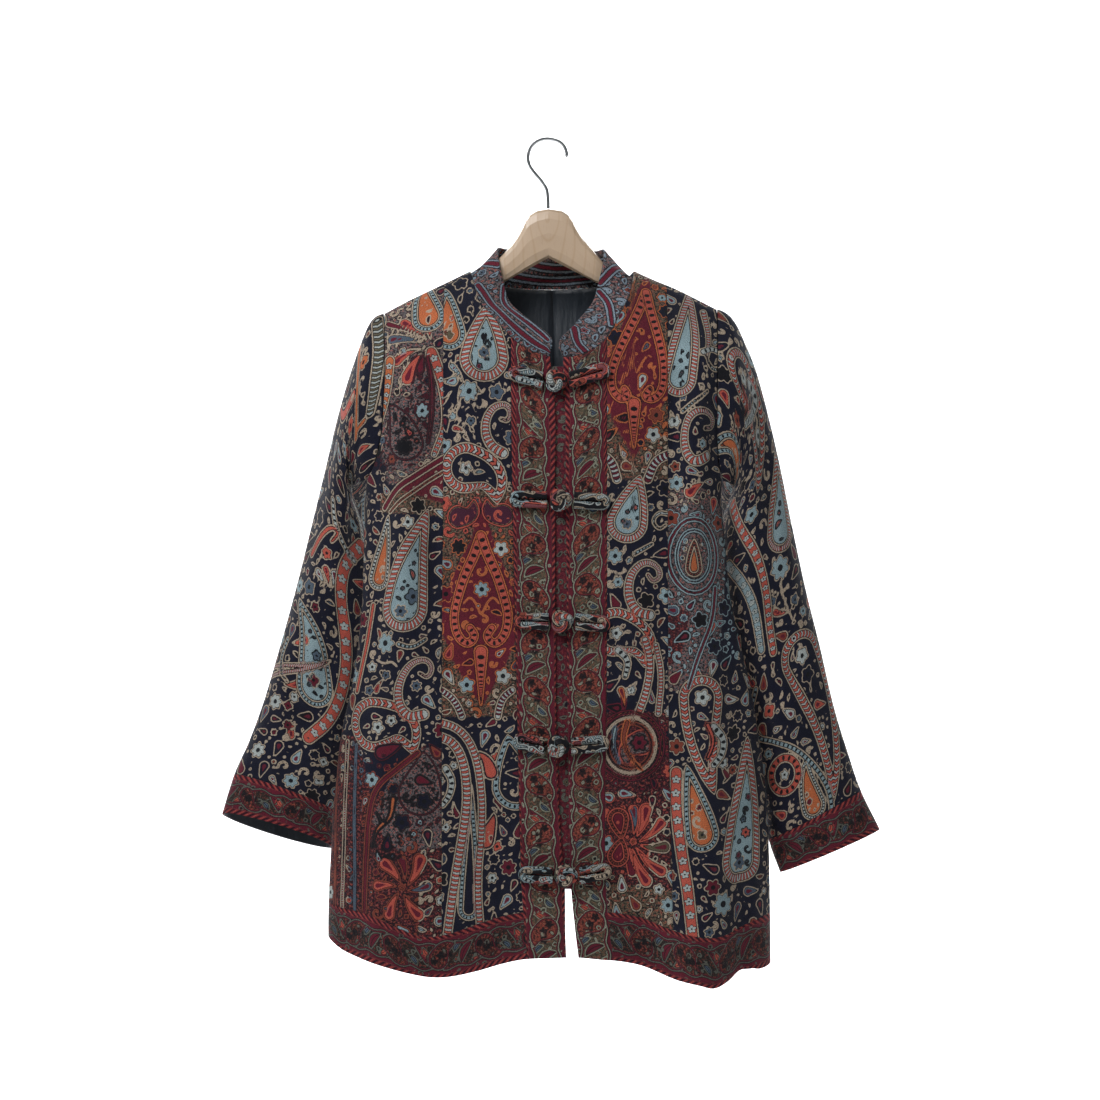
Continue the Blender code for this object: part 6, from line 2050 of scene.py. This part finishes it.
# Maroon stripes of the collar: half width, then places as shares of its length and height.
COLLAR_STRIPES = (
    (3.9, ((0.0, 0.34), (0.10, 0.40), (0.20, 0.30), (0.24, 0.10))),
    (3.1, ((0.02, 0.80), (0.10, 0.86), (0.17, 0.72), (0.22, 0.98))),
    (3.8, ((0.27, 0.95), (0.30, 0.40), (0.36, 0.06))),
    (3.2, ((0.38, 0.92), (0.46, 0.60), (0.55, 0.52), (0.66, 0.66))),
    (2.9, ((0.40, 0.30), (0.50, 0.20), (0.60, 0.24))),
    (3.8, ((0.68, 0.05), (0.72, 0.50), (0.78, 0.95))),
    (3.3, ((0.80, 0.92), (0.83, 0.45), (0.88, 0.06))),
    (3.8, ((0.92, 0.96), (0.955, 0.55), (0.96, 0.05))),
)


def paint_collar(cloth):
    """Speckled collar with slanting maroon stripes."""
    fill_ground(cloth, "grey", 1.0, "mist")
    for half, line in COLLAR_STRIPES:
        path = rounded_path([(cloth.high[0] * along, cloth.high[1] * up) for along, up in line])
        draw_strip(cloth, path, half, 0.1, PLAIN, "maroon", "mist")
    scatter(cloth, 301, 5.0, 0.6, ("pink", "rust", "maroon", "pale", "coral", "steel"))


paint_collar(collar)


# Creases: height, half width and path. A negative height is a trough.
CREASES = {
    "front_side_left": (
        (2.0, 12.0, ((-156.9, 287.9), (-153.7, 417.8), (-159.1, 558.6))), (-2.4, 9.0, ((-125.5, 363.7), (-123.4, 461.1), (-125.5, 569.4))),
        (-2.2, 10.0, ((-178.6, 396.2), (-184.0, 515.3), (-189.4, 623.5))), (1.8, 10.0, ((-211.1, 666.8), (-211.1, 764.3), (-216.5, 856.3))),
        (-1.8, 9.0, ((-189.4, 688.5), (-191.6, 775.1), (-195.9, 856.3))), (1.6, 11.0, ((-148.3, 699.3), (-143.9, 775.1), (-146.1, 856.3))),
        (-1.6, 8.0, ((-176.4, 212.1), (-180.8, 277.1), (-185.1, 331.2))),
    ),
    "front_side_right": (
        (2.2, 12.0, ((163.5, 201.3), (166.8, 331.2), (163.5, 461.1))), (-2.4, 9.0, ((140.8, 212.1), (139.7, 374.5), (143.0, 558.6))),
        (-2.2, 10.0, ((189.5, 439.5), (196.0, 558.6), (203.6, 677.7))), (2.0, 12.0, ((172.2, 656.0), (178.7, 775.1), (183.0, 861.7))),
        (-1.8, 9.0, ((154.9, 612.7), (159.2, 721.0), (161.4, 856.3))), (1.8, 11.0, ((214.4, 677.7), (222.0, 775.1), (226.3, 856.3))),
        (-1.6, 8.0, ((185.2, 212.1), (189.5, 287.9), (193.9, 363.7))),
    ),
    "front_centre_left": (
        (-1.9, 8.0, ((-106.1, 396.2), (-107.1, 504.4), (-103.9, 623.5))), (1.5, 12.0, ((-74.7, 645.2), (-79.0, 742.6), (-76.8, 856.3))),
        (-1.5, 9.0, ((-55.2, 677.7), (-51.9, 775.1), (-55.2, 856.3))), (1.2, 10.0, ((-83.3, 212.1), (-76.8, 309.5), (-81.2, 417.8))),
    ),
    "front_centre_right": (
        (1.5, 11.0, ((101.8, 656.0), (104.0, 753.5), (107.2, 856.3))), (-1.6, 9.0, ((80.2, 677.7), (76.9, 775.1), (78.0, 856.3))),
        (-1.6, 8.0, ((122.4, 439.5), (123.5, 547.7), (121.3, 645.2))), (1.2, 10.0, ((92.1, 212.1), (87.8, 331.2), (92.1, 439.5))),
    ),
    "sleeve_left": (
        (2.4, 10.0, ((-212.2, 319.1), (-224.2, 417.5), (-238.4, 505.0))), (-2.6, 9.0, ((-219.8, 494.0), (-236.2, 570.6), (-257.0, 647.2))),
        (-2.2, 9.0, ((-266.8, 526.9), (-277.8, 625.3), (-288.7, 712.8))), (2.2, 10.0, ((-241.7, 592.5), (-258.1, 680.0), (-270.1, 723.7))),
        (-2.0, 8.0, ((-196.8, 275.3), (-206.7, 362.8), (-216.5, 439.4))), (1.6, 8.0, ((-284.3, 658.1), (-296.4, 712.8))),
    ),
    "sleeve_right": (
        (2.4, 10.0, ((213.3, 340.9), (222.0, 428.4), (230.8, 515.9))), (-2.6, 9.0, ((235.2, 308.1), (245.0, 395.6), (253.8, 472.2))),
        (-2.8, 8.0, ((248.3, 515.9), (271.3, 603.4), (290.9, 658.1))), (2.4, 9.0, ((264.7, 515.9), (288.8, 603.4), (306.3, 669.0))),
        (-2.2, 9.0, ((231.9, 592.5), (249.4, 680.0), (268.0, 740.1))), (1.8, 9.0, ((283.3, 680.0), (300.8, 734.7))),
    ),
    "back_left": (
        (-2.6, 16.0, ((-159.1, 212.1), (-146.1, 396.2), (-163.4, 634.4))), (2.4, 15.0, ((-102.8, 309.5), (-109.3, 504.4), (-98.5, 721.0))),
        (-2.2, 13.0, ((-50.8, 417.8), (-42.2, 612.7), (-53.0, 807.6))), (2.0, 14.0, ((-200.3, 547.7), (-206.7, 677.7), (-213.2, 829.2))),
        (-2.0, 12.0, ((-137.5, 677.7), (-133.1, 764.3), (-139.6, 850.9))),
    ),
    "back_right": (
        (-2.6, 16.0, ((154.9, 222.9), (165.7, 417.8), (178.7, 612.7))), (2.4, 15.0, ((100.7, 320.4), (113.7, 526.1), (107.2, 742.6))),
        (-2.2, 13.0, ((46.6, 461.1), (40.1, 634.4), (48.8, 807.6))), (2.0, 14.0, ((203.6, 569.4), (213.3, 699.3), (219.8, 829.2))),
        (-2.0, 12.0, ((139.7, 699.3), (131.1, 775.1), (137.6, 850.9))),
    ),
}

# The same for the far side of the sleeves, in flat coordinates.
FAR_CREASES = {
    "sleeve_left": (
        (-2.6, 10.0, ((-150.0, 90.0), (-162.0, 200.0), (-145.0, 320.0))),
        (2.3, 10.0, ((-128.0, 180.0), (-134.0, 300.0), (-120.0, 430.0))),
        (-2.2, 9.0, ((-168.0, 300.0), (-152.0, 400.0), (-140.0, 470.0))),
    ),
    "sleeve_right": (
        (-2.4, 10.0, ((-140.0, 100.0), (-128.0, 220.0), (-142.0, 340.0))),
        (2.4, 10.0, ((-165.0, 160.0), (-156.0, 290.0), (-168.0, 420.0))),
        (-2.2, 9.0, ((-120.0, 320.0), (-132.0, 400.0), (-124.0, 480.0))),
    ),
}
EDGE_FADE = 9.0


def press_crease(cloth, path, height, half, wrap):
    """Raises or sinks the cloth in a soft uneven line."""
    near, u, v = places_near(cloth, path, half * 3.0)
    if len(near) == 0:
        return
    away, along, _, _, length = nearest_on_path(path, u, v)
    ends = np.sin(math.pi * np.clip(along / length, 0.0, 1.0)) ** 0.6
    uneven = 1.0 + 0.25 * np.sin(along * 0.06 + half) + 0.12 * np.sin(along * 0.17)
    lift = height * ends * uneven * np.exp(-(away / half) ** 2)
    rows, columns = cloth.points.shape[:2]
    cell_wide, cell_high = (cloth.high - cloth.low) / (columns, rows)
    row = near // columns
    column = near % columns
    if not wrap:
        from_edge = np.minimum(column, columns - 1 - column) * cell_wide
        lift = lift * np.clip(from_edge / EDGE_FADE, 0.0, 1.0)
    lift = lift * np.clip(np.minimum(row, rows - 1 - row) * cell_high / EDGE_FADE, 0.0, 1.0)
    cloth.points.reshape(-1, 3)[near] += cloth.normals.reshape(-1, 3)[near] * lift[:, None]


def press_creases(name, cloth):
    """Presses one piece's creases into it."""
    wrap = name.startswith("sleeve")
    for height, half, line in CREASES.get(name, ()):
        press_crease(cloth, rounded_path([cloth.at(x, drop) for x, drop in line]), height, half, wrap)
    for height, half, path in FAR_CREASES.get(name, ()):
        press_crease(cloth, rounded_path(path), height, half, wrap)


for name, cloth in PATTERNED.items():
    press_creases(name, cloth)
press_creases("back_left", lining_left)
press_creases("back_right", lining_right)


for name, cloth in PATTERNED.items():
    add_cloth(name, cloth, wrap=name.startswith("sleeve"))
for name, (cloth, _) in BORDERED.items():
    add_cloth(name, cloth, wrap=name.startswith("cuff"))
add_cloth("underlap", underlap_cloth, thickness=UNDERLAP_CLOTH)
add_cloth("collar", collar, inner=CLOTH_PAINT, pick=1)


def add_lining(name, cloth):
    """Builds the satin lining under one half of the back."""
    piece = shell("satin_" + name, cloth, LINING, LINING_PAINT, LINING_PAINT, 2)
    width, length, area = measure(cloth)
    finish_piece(piece, [name])


add_lining("lining_left", lining_left)
add_lining("lining_right", lining_right)


# Fastenings.
CORD_SIDES = 20
CORD_STEP = 1.2
CORD_WALL = 3.4
KNOT_RING = 6.2
KNOT_SWING = 2.9
KNOT_CORD = 3.9
KNOT_RISE = 3.9
KNOT_STEPS = 110


def tube_cloth(path, radius):
    """Cloth rolled into a cord around a path."""
    firsts, seconds = frame_path(path)
    angles = np.arange(CORD_SIDES) * 2 * math.pi / CORD_SIDES
    normals = firsts[:, None] * np.cos(angles)[None, :, None] + seconds[:, None] * np.sin(angles)[None, :, None]
    points = path[:, None] + normals * radius
    along = np.concatenate([[0.0], np.cumsum(np.linalg.norm(np.diff(path, axis=0), axis=1))])
    around = angles * radius
    place = np.stack(np.meshgrid(around, along), axis=-1)
    return Cloth(points, normals, place)


def spaced(path, step):
    """Path with even steps."""
    path = np.array(path)
    lengths = np.concatenate([[0.0], np.cumsum(np.linalg.norm(np.diff(path, axis=0), axis=1))])
    marks = np.linspace(0.0, lengths[-1], max(3, int(lengths[-1] / step)))
    return np.stack([np.interp(marks, lengths, path[:, axis]) for axis in range(path.shape[1])], axis=-1)


# Woven bands that wander along a rolled cord: yarn, motif, outline.
CORD_BANDS = (
    ("coral", TICKS, "pale"), ("pale", BEADS, "sky"), ("rust", BEADS, "coral"), ("sky", CHEVRONS, "pale"),
    ("coral", BEADS, "pink"), ("pale", TICKS, "cream"), ("pink", PLAIN, "coral"), ("cream", BEADS, "cream"),
)


def add_cord(name, node, path, radius, seed):
    """Rolled cord with paisley scraps on it."""
    cloth = tube_cloth(path, radius)
    fill_ground(cloth, "black")
    rng = np.random.default_rng(seed)
    around = 2 * math.pi * radius
    along = -8.0
    while along < cloth.high[1]:
        length = rng.uniform(12.0, 30.0)
        start = rng.uniform(0.0, around)
        lean = rng.uniform(-8.0, 8.0)
        half = rng.uniform(3.4, 5.2)
        ink, style, edge = CORD_BANDS[int(rng.integers(len(CORD_BANDS)))]
        for shift in (-around, 0.0, around):
            line = [(start + shift, along), (start + shift + lean, along + length * 0.6), (start + shift, along + length)]
            draw_strip(cloth, rounded_path(line), half, 0.4, style, ink, edge)
        along += length * 0.45
    scatter(cloth, seed, 3.5, -0.3, CORD_FILLS)
    piece = shell(name, cloth, CORD_WALL, CLOTH_PAINT, CLOTH_PAINT, 5, True)
    finish_piece(piece, node)


CORD_FILLS = ("cream", "pale", "coral", "navy", "sky", "coral", "rust")


def add_frog(number, row):
    """Wound knot and two hairpin cords of one fastening."""
    knot_x, knot_drop, left_x, left_drop, right_x, right_drop = row
    rise = float(body_y(np.array(knot_x), np.array(knot_drop), True))
    centre_y = rise - LAY_GAP - KNOT_RISE - KNOT_CORD
    turns = np.linspace(0.0, 2 * math.pi, KNOT_STEPS)
    reach = KNOT_RING + KNOT_SWING * np.cos(3 * turns)
    knot_path = np.stack([
        knot_x + reach * np.cos(2 * turns), centre_y - KNOT_RISE * np.sin(3 * turns), -knot_drop + reach * np.sin(2 * turns),
    ], axis=-1)
    add_cord("knot_%d" % number, ["frog_%d_knot" % number], knot_path, KNOT_CORD, 500 + number)
    ends = (("left", left_x, left_drop, -1.0), ("right", right_x, right_drop, 1.0))
    for side, end_x, end_drop, outward in ends:
        start_x = knot_x + outward * (KNOT_HALF_WIDTH + CORD_RADIUS * CORD_START_SHARE)
        bend_x = end_x - outward * CORD_SPREAD * CORD_BEND_SHARE
        flat = [(start_x, knot_drop - CORD_SPREAD), (bend_x, end_drop - CORD_SPREAD)]
        for turn in range(15, 166, 15):
            flat.append((
                bend_x + outward * CORD_SPREAD * math.sin(math.radians(turn)),
                end_drop - CORD_SPREAD * math.cos(math.radians(turn)),
            ))
        flat += [(bend_x, end_drop + CORD_SPREAD), (start_x, knot_drop + CORD_SPREAD)]
        flat = spaced(flat, CORD_STEP)
        path = lie_on_front(flat[:, 0], flat[:, 1], CORD_RADIUS + LAY_GAP)
        name = "frog_%d_%s_cord" % (number, side)
        seed = 520 + 2 * number + (side == "left")
        add_cord("rolled_" + name, [name], path, CORD_RADIUS, seed)


for number, row in enumerate(FROGS, start=1):
    add_frog(number, row)


# Hanger.
for name, paint in (("hanger_body", WOOD_PAINT), ("hanger_hook", STEEL_PAINT)):
    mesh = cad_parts[name].data
    mesh.materials.clear()
    mesh.materials.append(paint)
    mesh.polygons.foreach_set("use_smooth", np.ones(len(mesh.polygons), dtype=bool))

# Camera, light and floor.
EYE_DISTANCE = 3.5
EYE_X = 0.0033
EYE_DROP = 0.4503
VIEW_WIDTH = 1.21
SENSOR = 36.0

camera_data = bpy.data.cameras.new("camera")
camera_data.sensor_width = SENSOR
camera_data.lens = SENSOR * EYE_DISTANCE / VIEW_WIDTH
camera_data.clip_end = 50.0
camera = bpy.data.objects.new("camera", camera_data)
camera.location = (EYE_X, -EYE_DISTANCE, -EYE_DROP)
camera.rotation_euler = (math.pi / 2, 0.0, 0.0)
bpy.context.collection.objects.link(camera)
bpy.context.scene.camera = camera

FLOOR_DROP = 1.55
FLOOR_REACH = 8.0
WALL_PLACE = 4.6
WALL_BEND = 1.5
WALL_TOP = 4.0
floor_mesh = bpy.data.meshes.new("floor")
profile = [(-FLOOR_REACH, -FLOOR_DROP), (WALL_PLACE - WALL_BEND, -FLOOR_DROP)]
for step in range(1, 13):
    turn = step / 12 * math.pi / 2
    profile.append((
        WALL_PLACE + WALL_BEND * (math.sin(turn) - 1), -FLOOR_DROP + WALL_BEND * (1 - math.cos(turn)),
    ))
profile.append((WALL_PLACE, WALL_TOP))
floor_points = [(x, y, z) for y, z in profile for x in (-FLOOR_REACH, FLOOR_REACH)]
floor_faces = [(2 * k, 2 * k + 1, 2 * k + 3, 2 * k + 2) for k in range(len(profile) - 1)]
floor_mesh.from_pydata(floor_points, [], floor_faces)
floor_mesh.polygons.foreach_set("use_smooth", np.ones(len(floor_faces), dtype=bool))
floor = bpy.data.objects.new("floor", floor_mesh)
bpy.context.collection.objects.link(floor)
floor_paint = Painter("pale_backdrop")
grain = floor_paint.noise(floor_paint.object_place(), 30.0, 2.0)
floor_paint.set("Base Color", (0.92, 0.92, 0.92, 1.0))
floor_paint.set("Roughness", grain * 0.1 + 0.8)
floor_mesh.materials.append(floor_paint.material)

AIM_DROP = 0.32
LAMP_COLOUR = (0.97, 0.98, 1.0)
LAMPS = (
    # name, x, y, z, size, watts
    ("key", -0.75, -1.25, 0.90, 1.0, 40.0),
    ("fill", 1.3, -2.4, 0.8, 2.0, 4.5),
    ("backdrop_left", -2.6, 2.9, 1.4, 2.0, 240.0),
    ("backdrop_right", 2.6, 2.9, 1.4, 2.0, 240.0),
)
for name, x, y, z, size, watts in LAMPS:
    lamp_data = bpy.data.lights.new(name, "AREA")
    lamp_data.size = size
    lamp_data.energy = watts
    lamp_data.color = LAMP_COLOUR
    lamp = bpy.data.objects.new(name, lamp_data)
    lamp.location = (x, y, z)
    target = (0.0, 4.3, -1.0) if name.startswith("backdrop") else (0.0, 0.0, -AIM_DROP)
    away = np.array(target) - np.array((x, y, z))
    flat = math.hypot(away[0], away[1])
    lamp.rotation_euler = (math.pi / 2 + math.atan2(away[2], flat), 0.0, math.atan2(away[1], away[0]) - math.pi / 2)
    bpy.context.collection.objects.link(lamp)

world = bpy.data.worlds.new("studio")
world.use_nodes = True
world.node_tree.nodes["Background"].inputs["Color"].default_value = (0.90, 0.97, 1.0, 1.0)
world.node_tree.nodes["Background"].inputs["Strength"].default_value = 0.14
bpy.context.scene.world = world
bpy.context.scene.view_settings.view_transform = "Standard"
